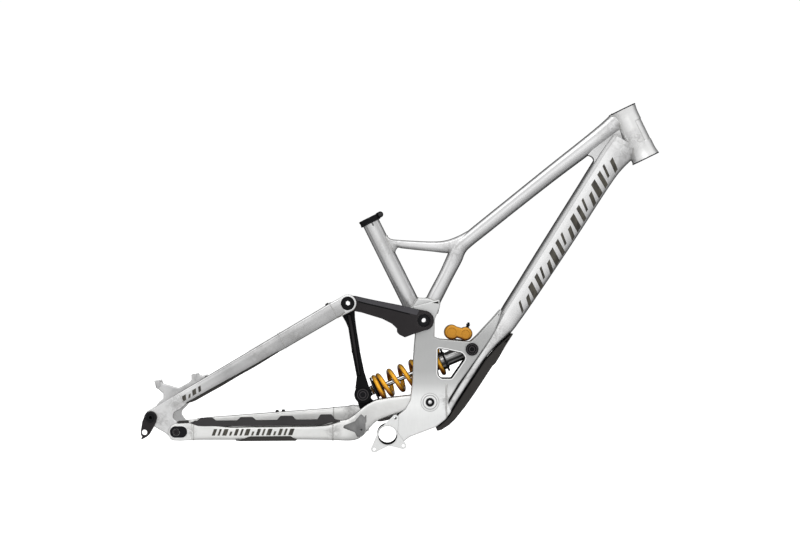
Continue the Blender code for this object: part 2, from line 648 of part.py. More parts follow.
rings = []
for s, th in ((96, 2.4), (150, 4.6), (250, 5.2), (284, 4.6), (295, 2.6)):
    bot = lerp([(q[0], q[2]) for q in SEAT_STAY], s)
    yc = -lerp([(q[0], q[3]) for q in SEAT_STAY], s)
    hw = lerp([(q[0], q[4]) for q in SEAT_STAY], s) - 1.0
    up, lo = stay_point(s, bot - 0.4), stay_point(s, bot - 0.4 - th)
    rings.append([(up[0], yc - hw, up[1]), (up[0], yc + hw, up[1]),
                  (lo[0], yc + hw, lo[1]), (lo[0], yc - hw, lo[1])])
finish("seatstay_guard", loft(rings), "rubber", at(UPPER))

for nm, side in SIDES:
    finish("upper_bearing_" + nm,
           tube_ring(*UPPER, 6.9, 12.1, *span(side, STAY_IN + 0.6, 56.2)),
           "steel", at(UPPER))
    finish("horst_bearing_" + nm,
           tube_ring(*HORST, 5.4, 11.0, *span(side, HUB_HALF + 0.6, DROP_OUT - 0.6)),
           "steel", at(UPPER))

HANGER = (
    arc(*AXLE, 11.6, 10, 200, 9)
    + rounded([(-459.5, 27, 3), (-462.4, 15), (-463.2, 8), (-463.4, 2.6, 1.5),
               (-461.2, -0.6, 1), (-464.2, -4.4, 0.8), (-461.5, -5.6, 1),
               (-453.5, -0.6, 3), (-448.6, 5, 4), (-443.6, 16.5, 6),
               (-436.5, 25, 5)]))
hanger = cut(prism(HANGER, -88.6, -82.35),
             cyl(-457.0, 7.6, 5.0, -95, -75, 16), cyl(*AXLE, 7.6, -95, -75, 16))
finish("derailleur_hanger", hanger, "black", at(AXLE))
hb = turned([(0, 3.0), (0, 9.4), (1.6, 9.4), (1.6, 7.2), (6.0, 7.2), (6.0, 3.0)],
            at(AXLE, -90.4), (0, 1, 0), 12, ring=True)
finish("hanger_bolt", hb, "dark", at(AXLE))
axle = union(cyl(*AXLE, 6.0, -83.5, 82.5, 16), cyl(*AXLE, 9.5, 82.35, 86.5, 16))
finish("rear_axle", axle, "black", at(AXLE))
nub = stay_point(-26.5, 271.4)
finish("hose_nub", prism(rounded([
    (nub[0] - 3.5, nub[1] - 2.2), (nub[0] - 3.4, nub[1] + 0.6, 1),
    (nub[0] + 1.6, nub[1] + 3.7, 1), (nub[0] + 3.4, nub[1] + 1.9)]), 53, 60),
    "rubber", at(UPPER))

# ===================================================================== strut
STRUT = (
    arc(*UPPER, 13.2, 20, 192, 8)
    + rounded([(-87, 228, 4), (-79, 215, 6), (-74.6, 203), (-67.5, 157),
               (-58.2, 108, 6), (-60.2, 96, 6)])
    + arc(*SEYE, 13.6, 165, 395, 10)
    + rounded([(-40.4, 101, 8), (-45.2, 119), (-52.4, 158), (-59.6, 203),
               (-62, 222, 6)]))
strut = prism(STRUT, FORK_IN + 0.2, FORK_OUT)
strut = union(strut, cyl(-63.5, 158, 5.0, -FORK_OUT + 3, FORK_OUT - 3, 12),
              prism(STRUT, -FORK_OUT, -FORK_IN - 0.2),
              cyl(*UPPER, 12.6, FORK_OUT - 4, ARM_IN - 0.4),
              cyl(*UPPER, 12.6, -ARM_IN + 0.4, -FORK_OUT + 4))
strut = cut(strut, cyl(*UPPER, 7.0, -60, 60, 12), cyl(*SEYE, 7.6, -60, 60, 12))
finish("strut", strut, "black", at(UPPER))

# ================================================================ lower link
LINK = (
    arc(*SEYE, 12.0, 10, 195, 8)
    + rounded([(-58, 60, 8), (-53, 49, 8), (-38, 40.5, 12), (-10, 37, 20),
               (30, 41, 20), (60, 50)])
    + arc(*MAIN, 12.8, 230, 480, 10)
    + rounded([(58, 62, 8), (35, 55, 16), (8, 51, 16), (-16, 54, 12),
               (-30, 63, 8)]))
link = prism(LINK, LINK_IN, LINK_OUT)
link = union(link, cyl(-6, 44, 5.0, -LINK_IN - 2, LINK_IN + 2, 12),
             prism(LINK, -LINK_OUT, -LINK_IN))
link = cut(link, cyl(*MAIN, 9.9, -60, 60, 12), cyl(*SEYE, 6.2, -60, 60, 12))
finish("lower_link", link, "black", at(MAIN))
for nm, side in SIDES:
    finish("lower_link_bearing_" + nm,
           tube_ring(*MAIN, 6.3, 9.2, *span(side, LINK_IN + 0.5, LINK_OUT - 0.5), 12),
           "steel", at(MAIN))
pin = union(cyl(*SEYE, 5.8, -33.0, 33.0, 16), cyl(*SEYE, 11.6, -34.6, -31.5),
            cyl(*SEYE, 11.6, 31.5, 34.6))
finish("lower_link_bolt", pin, "black", at(SEYE))

# ===================================================================== shock
SH_B = (-SH[1], SH[0])


def shock_box(t0, t1, r, yh):
    """Block on the shock axis, from t0 to t1, half height r, half width yh."""
    pts = [along(t0, r), along(t1, r), along(t1, -r), along(t0, -r)]
    return prism([(p[0], p[2]) for p in pts], -yh, yh)


eye = union(cyl(*SEYE, 10.5, -11.8, 11.8), shock_box(4, 17.6, 9.0, 9.5))
eye = cut(eye, cyl(*SEYE, 6.2, -20, 20, 16),
          turned([(9, 2.9), (19, 2.9)], along(0), SHOCK_AXIS, 12))
finish("shock_rear_eye", eye, "black", at(SEYE))
finish("rebound_knob", turned([(0, 6.4), (0, 9.2), (4.0, 9.2), (4.0, 6.4)],
                              along(18.0), SHOCK_AXIS, 12, ring=True),
       "gold", at(SEYE))
finish("shock_shaft", turned([(12, 2.5), (19.5, 2.5), (19.5, 4.75), (121, 4.75),
                              (121, 10.6), (128, 10.6)], along(0), SHOCK_AXIS, 16),
       "chrome", at(SEYE))
finish("spring_seat_lower", turned([(22.4, 5.1), (22.4, 15), (22.9, 24.0),
                                    (26.2, 24.0), (26.2, 17.2), (31, 16.8),
                                    (31, 5.1)], along(0), SHOCK_AXIS, SEG, ring=True),
       "black", at(SEYE))
finish("bump_stop", turned([(31.4, 5.1), (31.4, 10), (34, 11), (36, 9.2), (38, 10),
                            (40.8, 6.8), (40.8, 5.1)],
                           along(0), SHOCK_AXIS, 12, ring=True),
       "rubber", at(SEYE))

body = turned([(113.5, 5.3), (113.5, 12.0), (115.5, 13.4), (200, 13.4), (200, 11.0),
               (119.5, 11.0), (119.5, 5.3)], along(0), SHOCK_AXIS, SEG, ring=True)
finish("shock_body", body, "dark", at(FEYE))
head = union(shock_box(200.4, 222, 11.5, 11.8), cyl(*FEYE, 11.6, -11.8, 11.8),
             prism(rounded([(133, 152), (126, 178, 3), (128, 181.6), (146, 180.2),
                            (150, 172), (160, 168)]), -10, 10))
head = cut(head, turned([(100, 14.2), (200.3, 14.2)], along(0), SHOCK_AXIS, SEG),
           cyl(*FEYE, 5.4, -20, 20, 16))
finish("shock_head", head, "black", at(FEYE))

RES_A, RES_B = (122.2, 194.6), (148.4, 191.6)
res = union(cyl(*RES_A, 14.4, -25, 25), cyl(*RES_B, 13.0, -25, 25))
res = cut(res, prism([(124, 181.9), (150, 180.5), (146, 170), (120, 170)], -12, 12))
finish("reservoir", res, "gold", at(FEYE))
kn = turned([(13.4, 3.0), (22.5, 3.0)], at(RES_B, -14), (0.27, 0, 0.963), 12)
finish("compression_adjuster", kn, "black", at(FEYE))

finish("preload_collar", turned([(167.6, 13.8), (167.6, 22.6), (173.4, 22.6),
                                 (173.4, 13.8)], along(0), SHOCK_AXIS, SEG,
                                ring=True), "black", along(167.6))


def coil_t(turns):
    """Distance along the axis of the wire's centre after so many turns."""
    lo, hi = SPRING_LO + WIRE_R, SPRING_HI - WIRE_R
    if turns <= 1:
        return lo + 9.0 * turns
    if turns >= 6:
        return hi - 9.0 * (7 - turns)
    u = (turns - 1) / 5
    return lo + 9.0 + (hi - lo - 18.0) * u


per = 12
rings = []
for i in range(7 * per + 1):
    q = i / per
    a = 2 * math.pi * q
    c = Vector(along(coil_t(q), COIL_R * math.cos(a), -COIL_R * math.sin(a)))
    dz = (coil_t(min(7, q + 0.01)) - coil_t(max(0, q - 0.01))) / 0.02
    tan = Vector(along(dz, -COIL_R * 2 * math.pi * math.sin(a),
                       -COIL_R * 2 * math.pi * math.cos(a))) - Vector(along(0))
    tan.normalize()
    rad = (c - Vector(along(coil_t(q)))).normalized()
    w = tan.cross(rad)
    rings.append([tuple(c + (rad * math.cos(2 * math.pi * k / 6)
                             + w * math.sin(2 * math.pi * k / 6)) * WIRE_R)
                  for k in range(6)])
finish("coil_spring", loft(rings), "gold", at(FEYE))
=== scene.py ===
import math

import bmesh
import bpy
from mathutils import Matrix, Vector
from mathutils.bvhtree import BVHTree
from mathutils.geometry import delaunay_2d_cdt


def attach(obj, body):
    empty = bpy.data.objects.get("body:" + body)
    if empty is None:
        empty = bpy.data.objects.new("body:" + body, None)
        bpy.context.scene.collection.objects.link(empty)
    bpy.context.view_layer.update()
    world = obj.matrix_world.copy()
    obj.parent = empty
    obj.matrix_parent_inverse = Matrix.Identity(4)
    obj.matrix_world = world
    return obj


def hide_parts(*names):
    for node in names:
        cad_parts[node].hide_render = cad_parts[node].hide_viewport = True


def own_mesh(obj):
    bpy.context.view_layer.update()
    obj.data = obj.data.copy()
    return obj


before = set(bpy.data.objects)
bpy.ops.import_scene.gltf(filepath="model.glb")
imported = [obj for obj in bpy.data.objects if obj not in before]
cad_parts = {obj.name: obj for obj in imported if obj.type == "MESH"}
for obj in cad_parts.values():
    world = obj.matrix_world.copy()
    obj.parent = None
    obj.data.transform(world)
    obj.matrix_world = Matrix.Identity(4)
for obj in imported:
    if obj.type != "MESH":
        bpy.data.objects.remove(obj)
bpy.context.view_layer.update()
MM = 0.001
OX, OZ = -26.435, 32.91      # bottom bracket centre in the part's frame, mm

MAIN, ROCK, UPPER = (80.4, 62.3), (69.0, 217.2), (-75.4, 249.7)
HORST, AXLE = (-397.4, 7.8), (-445.8, 35.2)
SEYE, FEYE = (-46.9, 76.4), (160.0, 162.7)
HEAD_TOP, HEAD_BOT = (446.5, 618.9), (492.3, 525.0)
SEAT_TOP, SEAT_DIR = (-36.4, 412.6), (0.4449, -0.8956)
L_SH = math.dist(SEYE, FEYE)
SH = ((FEYE[0] - SEYE[0]) / L_SH, (FEYE[1] - SEYE[1]) / L_SH)
HL = math.dist(HEAD_TOP, HEAD_BOT)
HD = ((HEAD_BOT[0] - HEAD_TOP[0]) / HL, (HEAD_BOT[1] - HEAD_TOP[1]) / HL)

# ================================================================= materials
MATS = {}


class Nodes:
    """Small helper to wire a node tree."""

    def __init__(self, name):
        self.m = bpy.data.materials.new(name)
        self.m.use_nodes = True
        self.t = self.m.node_tree
        self.b = self.t.nodes["Principled BSDF"]
        self.tc = self.new("ShaderNodeTexCoord")
        MATS[name] = self.m

    def new(self, kind, **kw):
        n = self.t.nodes.new(kind)
        for k, v in kw.items():
            setattr(n, k, v)
        return n

    def link(self, a, b):
        self.t.links.new(a, b)

    def put(self, socket, value):
        if isinstance(value, (int, float)):
            socket.default_value = value
        elif isinstance(value, tuple):
            socket.default_value = (*value, 1.0) if len(value) == 3 and socket.type == "RGBA" else value
        else:
            self.link(value, socket)

    def coords(self, scale=(1, 1, 1), rot=(0, 0, 0)):
        mp = self.new("ShaderNodeMapping")
        mp.inputs["Scale"].default_value = scale
        mp.inputs["Rotation"].default_value = rot
        self.link(self.tc.outputs["Object"], mp.inputs["Vector"])
        return mp.outputs["Vector"]

    def noise(self, scale, detail=3.0, rough=0.5, stretch=(1, 1, 1), rot=(0, 0, 0), distort=0.0):
        n = self.new("ShaderNodeTexNoise")
        n.inputs["Scale"].default_value = scale
        n.inputs["Detail"].default_value = detail
        n.inputs["Roughness"].default_value = rough
        n.inputs["Distortion"].default_value = distort
        self.link(self.coords(stretch, rot), n.inputs["Vector"])
        return n.outputs["Fac"]

    def ramp(self, fac, stops):
        r = self.new("ShaderNodeValToRGB")
        e = r.color_ramp.elements
        while len(e) < len(stops):
            e.new(0.5)
        for el, (pos, col) in zip(e, stops):
            el.position = pos
            el.color = (*col, 1.0) if isinstance(col, tuple) else (col, col, col, 1.0)
        self.link(fac, r.inputs["Fac"])
        return r.outputs["Color"]

    def math(self, op, a, b=0.0, clamp=False):
        n = self.new("ShaderNodeMath", operation=op, use_clamp=clamp)
        self.put(n.inputs[0], a)
        self.put(n.inputs[1], b)
        return n.outputs[0]

    def mix(self, fac, a, b, mode="MIX"):
        n = self.new("ShaderNodeMix", data_type="RGBA", blend_type=mode)
        self.put(n.inputs[0], fac)
        self.put(n.inputs[6], a)
        self.put(n.inputs[7], b)
        return n.outputs[2]

    def remap(self, v, a, b, c, d):
        n = self.new("ShaderNodeMapRange")
        n.inputs["From Min"].default_value = a
        n.inputs["From Max"].default_value = b
        n.inputs["To Min"].default_value = c
        n.inputs["To Max"].default_value = d
        self.link(v, n.inputs["Value"])
        return n.outputs["Result"]

    def near(self, spots):
        """1 near any of the spots (x, z, radius) in mm, fading to 0."""
        total = None
        sep = self.new("ShaderNodeSeparateXYZ")
        self.link(self.tc.outputs["Object"], sep.inputs[0])
        for x, z, r in spots:
            dx = self.math("SUBTRACT", sep.outputs["X"], (x + OX) * MM)
            dz = self.math("SUBTRACT", sep.outputs["Z"], (z + OZ) * MM)
            d2 = self.math("ADD", self.math("MULTIPLY", dx, dx), self.math("MULTIPLY", dz, dz))
            f = self.remap(self.math("SQRT", d2), r * MM, r * MM * 0.25, 0.0, 1.0)
            total = f if total is None else self.math("MAXIMUM", total, f)
        return total

    def bump(self, height, strength=0.2, dist=0.0005):
        n = self.new("ShaderNodeBump")
        n.inputs["Strength"].default_value = strength
        n.inputs["Distance"].default_value = dist
        self.link(height, n.inputs["Height"])
        self.link(n.outputs["Normal"], self.b.inputs["Normal"])

    def pointy(self, lo, hi):
        g = self.new("ShaderNodeNewGeometry")
        return self.remap(g.outputs["Pointiness"], lo, hi, 0.0, 1.0)

    def set(self, **kw):
        names = {"color": "Base Color", "rough": "Roughness", "metal": "Metallic",
                 "coat": "Coat Weight", "coat_rough": "Coat Roughness",
                 "spec": "Specular IOR Level", "sheen": "Sheen Weight"}
        for k, v in kw.items():
            self.put(self.b.inputs[names[k]], v)
        return self.m


def alloy(name, base, rough, smoke, spots=(), grain=(1, 1, 1), rot=(0, 0, 0), edge=0.42, metal=0.9, painted_height_light=(),
          painted_light_stripes=None, bump=0.006):
    """Clear-coated raw aluminium: a brushed grain, smoky clouds that gather round the welds, and painted rim shade:
    the colour darkens where the surface turns away from the view, standing in for dark surroundings seen in
    reflection."""
    n = Nodes(name)
    cloud = n.noise(16.0, 4.0, 0.6, distort=0.6)
    haze = n.ramp(cloud, [(0.36, tuple(c * (1 - smoke) for c in base)),
                          (0.50, tuple(c * (1 - smoke * 0.35) for c in base)), (0.66, base)])
    streak = n.noise(260.0, 3.0, 0.55, grain, rot)
    haze = n.mix(0.28, haze, n.ramp(streak, [(0.3, 0.88), (0.7, 1.0)]), "MULTIPLY")
    # painted light and shade by height: the colour is lightened or darkened along Z to stand in for how light falls on
    # the part
    if painted_height_light:
        sep = n.new("ShaderNodeSeparateXYZ")
        n.link(n.tc.outputs["Object"], sep.inputs[0])
        lo, hi = painted_height_light[0][0], painted_height_light[-1][0]
        level = n.remap(sep.outputs["Z"], (lo + OZ) * MM, (hi + OZ) * MM, 0.0, 1.0)
        haze = n.mix(1.0, haze, n.ramp(level, [((z - lo) / (hi - lo), v) for z, v in painted_height_light]), "MULTIPLY")
    # painted light and shade by facing: stripes of lighter and darker colour, set by which way the surface faces
    # across the given axis, stand in for highlights and shaded lines along the tube
    if painted_light_stripes:
        g = n.new("ShaderNodeNewGeometry")
        tr = n.new("ShaderNodeVectorTransform", vector_type="NORMAL", convert_from="WORLD", convert_to="OBJECT")
        n.link(g.outputs["Normal"], tr.inputs[0])
        d = n.new("ShaderNodeVectorMath", operation="DOT_PRODUCT")
        n.link(tr.outputs[0], d.inputs[0])
        d.inputs[1].default_value = (painted_light_stripes[0][0], 0.0, painted_light_stripes[0][1])
        f = n.remap(d.outputs["Value"], -1.0, 1.0, 0.0, 1.0)
        haze = n.mix(1.0, haze, n.ramp(f, [((a + 1) / 2, v) for a, v in painted_light_stripes[1]]), "MULTIPLY")
    if spots:
        burn = n.math("MULTIPLY", n.near(spots),
                      n.ramp(n.noise(95.0, 5.0, 0.65, distort=1.2), [(0.38, 0.0), (0.62, 1.0)]))
        haze = n.mix(n.math("MULTIPLY", burn, 0.62), haze, (0.33, 0.325, 0.32))
    # painted shade: the colour is darkened towards grazing angles for dark outlines; edge sets how dark
    lw = n.new("ShaderNodeLayerWeight")
    lw.inputs["Blend"].default_value = 0.5
    rim = n.ramp(lw.outputs["Facing"], [(0.0, 1.0), (0.42, 1.0), (0.66, edge + 0.30), (0.84, edge * 0.55), (1.0, edge * 0.2)])
    n.set(color=n.mix(1.0, haze, rim, "MULTIPLY"), metal=metal,
          rough=n.remap(streak, 0.2, 0.8, rough - 0.05, rough + 0.07),
          coat=0.12, coat_rough=0.16)
    n.b.inputs["Specular Tint"].default_value = (0.35, 0.35, 0.35, 1)
    n.bump(streak, bump, 0.0002)
    return n.m


TUBE_SPOTS = [(440, 585, 62), (468, 545, 60), (8, 362, 34), (124, 352, 34),
              (60, 250, 34), (113, 70, 32), (112, 40, 28), (200, 186, 40), (150, 118, 30)]
# The tubes' copies of the same raw alloy differ in base brightness as painted light: each is made lighter or darker to
# stand in for how light falls on that tube.
alloy("alloy_tube", (0.76, 0.76, 0.762), 0.38, 0.07, TUBE_SPOTS, (0.16, 1, 0.16), (0, math.radians(-45), 0))
alloy("alloy_seat", (0.82, 0.82, 0.822), 0.38, 0.07, TUBE_SPOTS, (0.16, 1, 0.16), (0, math.radians(-62), 0),
      painted_light_stripes=((-0.884, -0.468), ((-1.0, 0.35), (-0.90, 0.55), (-0.80, 0.95), (-0.62, 0.90), (-0.55, 0.70), (-0.3, 0.84),
                                (0.0, 1.0), (0.45, 1.0), (0.56, 0.9), (0.64, 0.55), (0.72, 0.60), (0.80, 0.92),
                                (0.92, 0.7), (1.0, 0.35))))
alloy("alloy_down", (0.86, 0.86, 0.862), 0.36, 0.05, TUBE_SPOTS, (0.16, 1, 0.16), (0, math.radians(-58), 0),
      painted_light_stripes=((-0.8514, 0.5245), ((-1.0, 0.7), (-0.5, 0.95), (0.0, 0.93), (0.32, 0.90), (0.40, 0.62), (0.47, 0.84),
                                 (0.80, 0.80), (0.93, 0.45), (1.0, 0.3))))
alloy("alloy_top", (0.90, 0.90, 0.905), 0.36, 0.05, TUBE_SPOTS, (0.16, 1, 0.16), (0, math.radians(-39), 0),
      painted_light_stripes=((-0.6274, 0.7787), ((-1.0, 0.42), (-0.80, 0.55), (-0.55, 0.78), (-0.12, 0.86), (0.16, 0.84),
                                 (0.22, 0.60), (0.30, 0.98), (0.75, 1.10), (0.92, 0.7), (1.0, 0.3))))
alloy("alloy_head", (0.97, 0.97, 0.965), 0.34, 0.06, [(470, 560, 26)], (1, 1, 1))
alloy("alloy_machined", (0.74, 0.745, 0.74), 0.42, 0.05, [(112, 66, 20)], (1, 1, 0.12), edge=0.5, metal=0.75,
      painted_height_light=((-40, 1.04), (30, 1.12), (56, 1.26), (72, 1.20), (98, 0.80), (122, 0.66), (190, 0.63), (215, 0.82), (262, 0.96)))
# a white copy of the alloy, used as a painted highlight on thin rims
alloy("alloy_lip", (1.0, 1.0, 1.0), 0.35, 0.0, (), edge=0.6, metal=0.6)
alloy("alloy_stay", (0.90, 0.90, 0.885), 0.38, 0.13, [(-104, 8, 22), (-372, 8, 16), (-70, 42, 24)],
      (0.12, 1, 1))
# a lighter copy of the alloy, used as a painted highlight round the windows
alloy("alloy_boss", (0.88, 0.88, 0.88), 0.35, 0.0, (), edge=0.6, metal=0.6)
# the seatstay tubes and their eyes, dropouts and brake mount are two copies of one alloy, lighter and darker as
# painted light
alloy("alloy_seatstay_tube", (0.80, 0.80, 0.80), 0.34, 0.20,
      [(-175, 188, 34), (-240, 158, 40), (-395, 62, 30), (-425, 30, 24)], (0.2, 1, 0.2), (0, math.radians(-30), 0),
      painted_height_light=((-10, 1.4), (66, 1.36), (92, 1.12), (125, 0.90), (200, 0.92), (235, 1.0), (262, 1.25)),
      painted_light_stripes=((-0.5107, 0.8598), ((-1.0, 0.4), (-0.8, 0.55), (-0.62, 1.0), (-0.44, 0.98), (-0.36, 0.60), (-0.28, 0.72),
                                 (0.25, 0.74), (0.33, 0.42), (0.40, 1.05), (0.80, 1.1), (0.93, 0.4), (1.0, 0.2))))
alloy("alloy_seatstay", (0.76, 0.76, 0.76), 0.34, 0.22,
      [(-175, 188, 34), (-240, 158, 40), (-395, 62, 30), (-425, 30, 24)], (0.2, 1, 0.2), (0, math.radians(-30), 0),
      painted_height_light=((-10, 1.12), (70, 1.08), (120, 0.92), (200, 0.90), (262, 1.25)))
# a darker copy of the alloy, painted shade for the chainstay pocket
alloy("alloy_pocket_painted_shade", (0.36, 0.36, 0.36), 0.42, 0.45, (), edge=0.4)
alloy("weld_bead", (0.72, 0.715, 0.70), 0.40, 0.20, (), edge=0.5)
# a mid grey, painted shade for grooves
alloy("groove_line", (0.50, 0.50, 0.50), 0.45, 0.05, (), edge=0.5)


def black_anodised(name, base, rough):
    n = Nodes(name)
    speck = n.noise(2600.0, 2.0, 0.6)
    cloud = n.noise(30.0, 3.0, 0.5)
    col = n.mix(cloud, tuple(c * 0.8 for c in base), tuple(c * 1.25 for c in base))
    # painted highlight: sharp convex edges are lightened, as if catching the light
    painted_edge_highlight = n.math("MULTIPLY", n.pointy(0.53, 0.62), 0.5, True)
    col = n.mix(painted_edge_highlight, col, tuple(min(1, c * 3.4) for c in base))
    # painted shade: the colour is darkened towards grazing angles for dark outlines
    lw = n.new("ShaderNodeLayerWeight")
    lw.inputs["Blend"].default_value = 0.5
    col = n.mix(1.0, col, n.ramp(lw.outputs["Facing"], [(0.0, 1.0), (0.30, 0.8), (0.55, 0.25), (1.0, 0.12)]),
                "MULTIPLY")
    n.b.inputs["Specular Tint"].default_value = (0.15, 0.15, 0.15, 1)
    n.set(color=col, metal=0.35, rough=n.remap(speck, 0.3, 0.7, rough - 0.06, rough + 0.06), spec=0.4)
    n.bump(speck, 0.06, 0.00015)
    return n.m


black_anodised("black_forged", (0.024, 0.022, 0.023), 0.44)
black_anodised("black_part", (0.010, 0.010, 0.011), 0.40)
black_anodised("black_deep", (0.006, 0.006, 0.0065), 0.46)
black_anodised("black_shadow", (0.0015, 0.0015, 0.0015), 0.7)
# a lighter black, painted light for the rocker's upper facet
black_anodised("black_facet_painted_light", (0.060, 0.058, 0.063), 0.46)


def rubber(name, base):
    n = Nodes(name)
    fine = n.noise(1700.0, 3.0, 0.6)
    dust = n.noise(24.0, 4.0, 0.6)
    n.set(color=n.mix(dust, tuple(c * 0.75 for c in base), tuple(c * 1.4 for c in base)),
          rough=n.remap(fine, 0.2, 0.8, 0.55, 0.78), spec=0.35)
    n.bump(fine, 0.25, 0.0003)
    return n.m


rubber("moulded_rubber", (0.019, 0.017, 0.0155))
rubber("soft_rubber", (0.024, 0.022, 0.023))


def metal(name, base, rough, metallic=1.0, coat=0.0, axis_rings=None, speck=0.04, rim=0.5, painted_underside_shade=None):
    n = Nodes(name)
    fine = n.noise(900.0, 3.0, 0.6, axis_rings or (1, 1, 1))
    cloud = n.noise(40.0, 3.0, 0.5)
    col = n.mix(cloud, tuple(c * 0.88 for c in base), base)
    # painted shade: the colour is darkened towards grazing angles; rim sets how dark the outline gets
    lw = n.new("ShaderNodeLayerWeight")
    lw.inputs["Blend"].default_value = 0.5
    col = n.mix(1.0, col, n.ramp(lw.outputs["Facing"], [(0.0, 1.0), (0.22, 1.0), (0.55, (1 + rim) / 2), (0.85, rim),
                                                        (1.0, rim * 0.6)]), "MULTIPLY")
    # painted shade: surfaces that face down are mixed towards the darker underside colour
    if painted_underside_shade:
        g = n.new("ShaderNodeNewGeometry")
        sx = n.new("ShaderNodeSeparateXYZ")
        n.link(g.outputs["Normal"], sx.inputs[0])
        lean = n.remap(sx.outputs["Z"], -1.0, 1.0, 0.0, 1.0)
        col = n.mix(n.ramp(lean, [(0.0, 1.0), (0.22, 0.95), (0.40, 0.35), (0.52, 0.0), (1.0, 0.0)]), col, painted_underside_shade)
    n.b.inputs["Specular Tint"].default_value = (0.4, 0.4, 0.4, 1)
    n.set(color=col, metal=metallic, coat=coat, coat_rough=0.12,
          rough=n.remap(fine, 0.2, 0.8, max(0.02, rough - speck), rough + speck))
    n.bump(fine, 0.05, 0.0001)
    return n.m




def painted_reflection_stripes(name, stops, rough, metallic=1.0):
    """Shock bar with painted reflections: long light and dark stripes, set by how far the surface leans up or down
    across the shock's axis, stand in for the reflections of a polished bar."""
    n = Nodes(name)
    g = n.new("ShaderNodeNewGeometry")
    tr = n.new("ShaderNodeVectorTransform", vector_type="NORMAL", convert_from="WORLD", convert_to="OBJECT")
    n.link(g.outputs["Normal"], tr.inputs[0])
    d = n.new("ShaderNodeVectorMath", operation="DOT_PRODUCT")
    n.link(tr.outputs[0], d.inputs[0])
    d.inputs[1].default_value = (-SH[1], 0.0, SH[0])
    f = n.remap(d.outputs["Value"], -1.0, 1.0, 0.0, 1.0)
    n.set(color=n.ramp(f, stops), metal=metallic, rough=rough)
    return n.m


painted_reflection_stripes("polished_shaft", [(0.0, 0.01), (0.22, 0.01), (0.26, 1.0), (0.40, 1.0), (0.43, 0.01), (0.57, 0.01),
                          (0.60, 1.0), (0.76, 1.0), (0.80, 0.01), (1.0, 0.01)], 0.20, 0.9)
painted_reflection_stripes("damper_alloy", [(0.0, 0.01), (0.14, 0.01), (0.19, 0.34), (0.26, 0.30), (0.30, 0.03), (0.42, 0.05),
                        (0.48, 0.28), (0.57, 0.34), (0.61, 0.95), (0.74, 0.95), (0.78, 0.16), (0.90, 0.08),
                        (0.95, 0.01), (1.0, 0.01)], 0.28, 0.45)
metal("turned_steel", (0.60, 0.60, 0.61), 0.24)
metal("dark_steel", (0.045, 0.045, 0.047), 0.35, 0.8)
# a near-white copy of the steel, a painted highlight for the main axle core
metal("bright_core", (0.95, 0.95, 0.95), 0.30)
metal("spring_enamel", (0.94, 0.46, 0.024), 0.32, 0.35, 0.35, rim=0.14, painted_underside_shade=(0.20, 0.050, 0.006))
metal("gold_anodised_skin", (0.64, 0.29, 0.028), 0.40, 0.45, 0.15, rim=0.14, painted_underside_shade=(0.22, 0.055, 0.008))
metal("bronze_skin", (0.16, 0.08, 0.015), 0.40, 0.45, 0.1, rim=0.3)
n = Nodes("dark_graphic")
band = n.noise(120.0, 2.0, 0.5, (1, 1, 0.3))
n.set(color=n.ramp(band, [(0.35, (0.030, 0.027, 0.022)), (0.7, (0.085, 0.078, 0.062))]),
      metal=0.55, rough=0.34, coat=0.3)

# ============================================================ outline helpers


def arc(cx, cz, r, a0, a1, n):
    return [(cx + r * math.cos(math.radians(a0 + (a1 - a0) * i / n)),
             cz + r * math.sin(math.radians(a0 + (a1 - a0) * i / n))) for i in range(n + 1)]


def circle(cx, cz, r, n=48):
    return arc(cx, cz, r, 0, 360, n)[:-1]


def rounded(pts, seg=7):
    out = []
    n = len(pts)
    for i, p in enumerate(pts):
        if len(p) == 2 or p[2] <= 0:
            out.append((p[0], p[1]))
            continue
        c = Vector(p[:2])
        a = Vector(pts[i - 1][:2]) - c
        b = Vector(pts[(i + 1) % n][:2]) - c
        la, lb = a.length, b.length
        a.normalize()
        b.normalize()
        half = a.angle(b) / 2
        cut = min(p[2] / math.tan(half), 0.47 * la, 0.47 * lb)
        p0, p2 = c + a * cut, c + b * cut
        for k in range(seg + 1):
            t = k / seg
            q = p0 * (1 - t) ** 2 + c * 2 * t * (1 - t) + p2 * t * t
            out.append((q.x, q.y))
    return out


def hull(c0, r0, c1, r1, n=16):
    d = math.dist(c0, c1)
    base = math.degrees(math.atan2(c1[1] - c0[1], c1[0] - c0[0]))
    half = math.degrees(math.acos((r0 - r1) / d))
    return arc(*c1, r1, base - half, base + half, n) + arc(*c0, r0, base + half, base + 360 - half, n)


def clean(pts, tol=0.06):
    out = []
    for p in pts:
        if not out or math.dist(p, out[-1]) > tol:
            out.append((p[0], p[1]))
    while len(out) > 2 and math.dist(out[0], out[-1]) <= tol:
        out.pop()
    return out


def area(pts):
    return sum(a[0] * b[1] - b[0] * a[1] for a, b in zip(pts, pts[1:] + pts[:1])) / 2


def offset(pts, d):
    """Closed outline moved inwards by d."""
    s = 1 if area(pts) > 0 else -1
    out = []
    n = len(pts)
    for i in range(n):
        a, b, c = (Vector(pts[i - 1]), Vector(pts[i]), Vector(pts[(i + 1) % n]))
        e1, e2 = (b - a).normalized(), (c - b).normalized()
        n1, n2 = Vector((-e1.y, e1.x)) * s, Vector((-e2.y, e2.x)) * s
        m = n1 + n2
        if m.length < 1e-6:
            m = n1.copy()
        m.normalize()
        k = d / max(0.5, m.dot(n1))
        out.append((b.x + m.x * k, b.y + m.y * k))
    return out


def inside(p, poly):
    c = False
    n = len(poly)
    for i in range(n):
        (x0, z0), (x1, z1) = poly[i - 1], poly[i]
        if (z0 > p[1]) != (z1 > p[1]) and p[0] < (x1 - x0) * (p[1] - z0) / (z1 - z0) + x0:
            c = not c
    return c


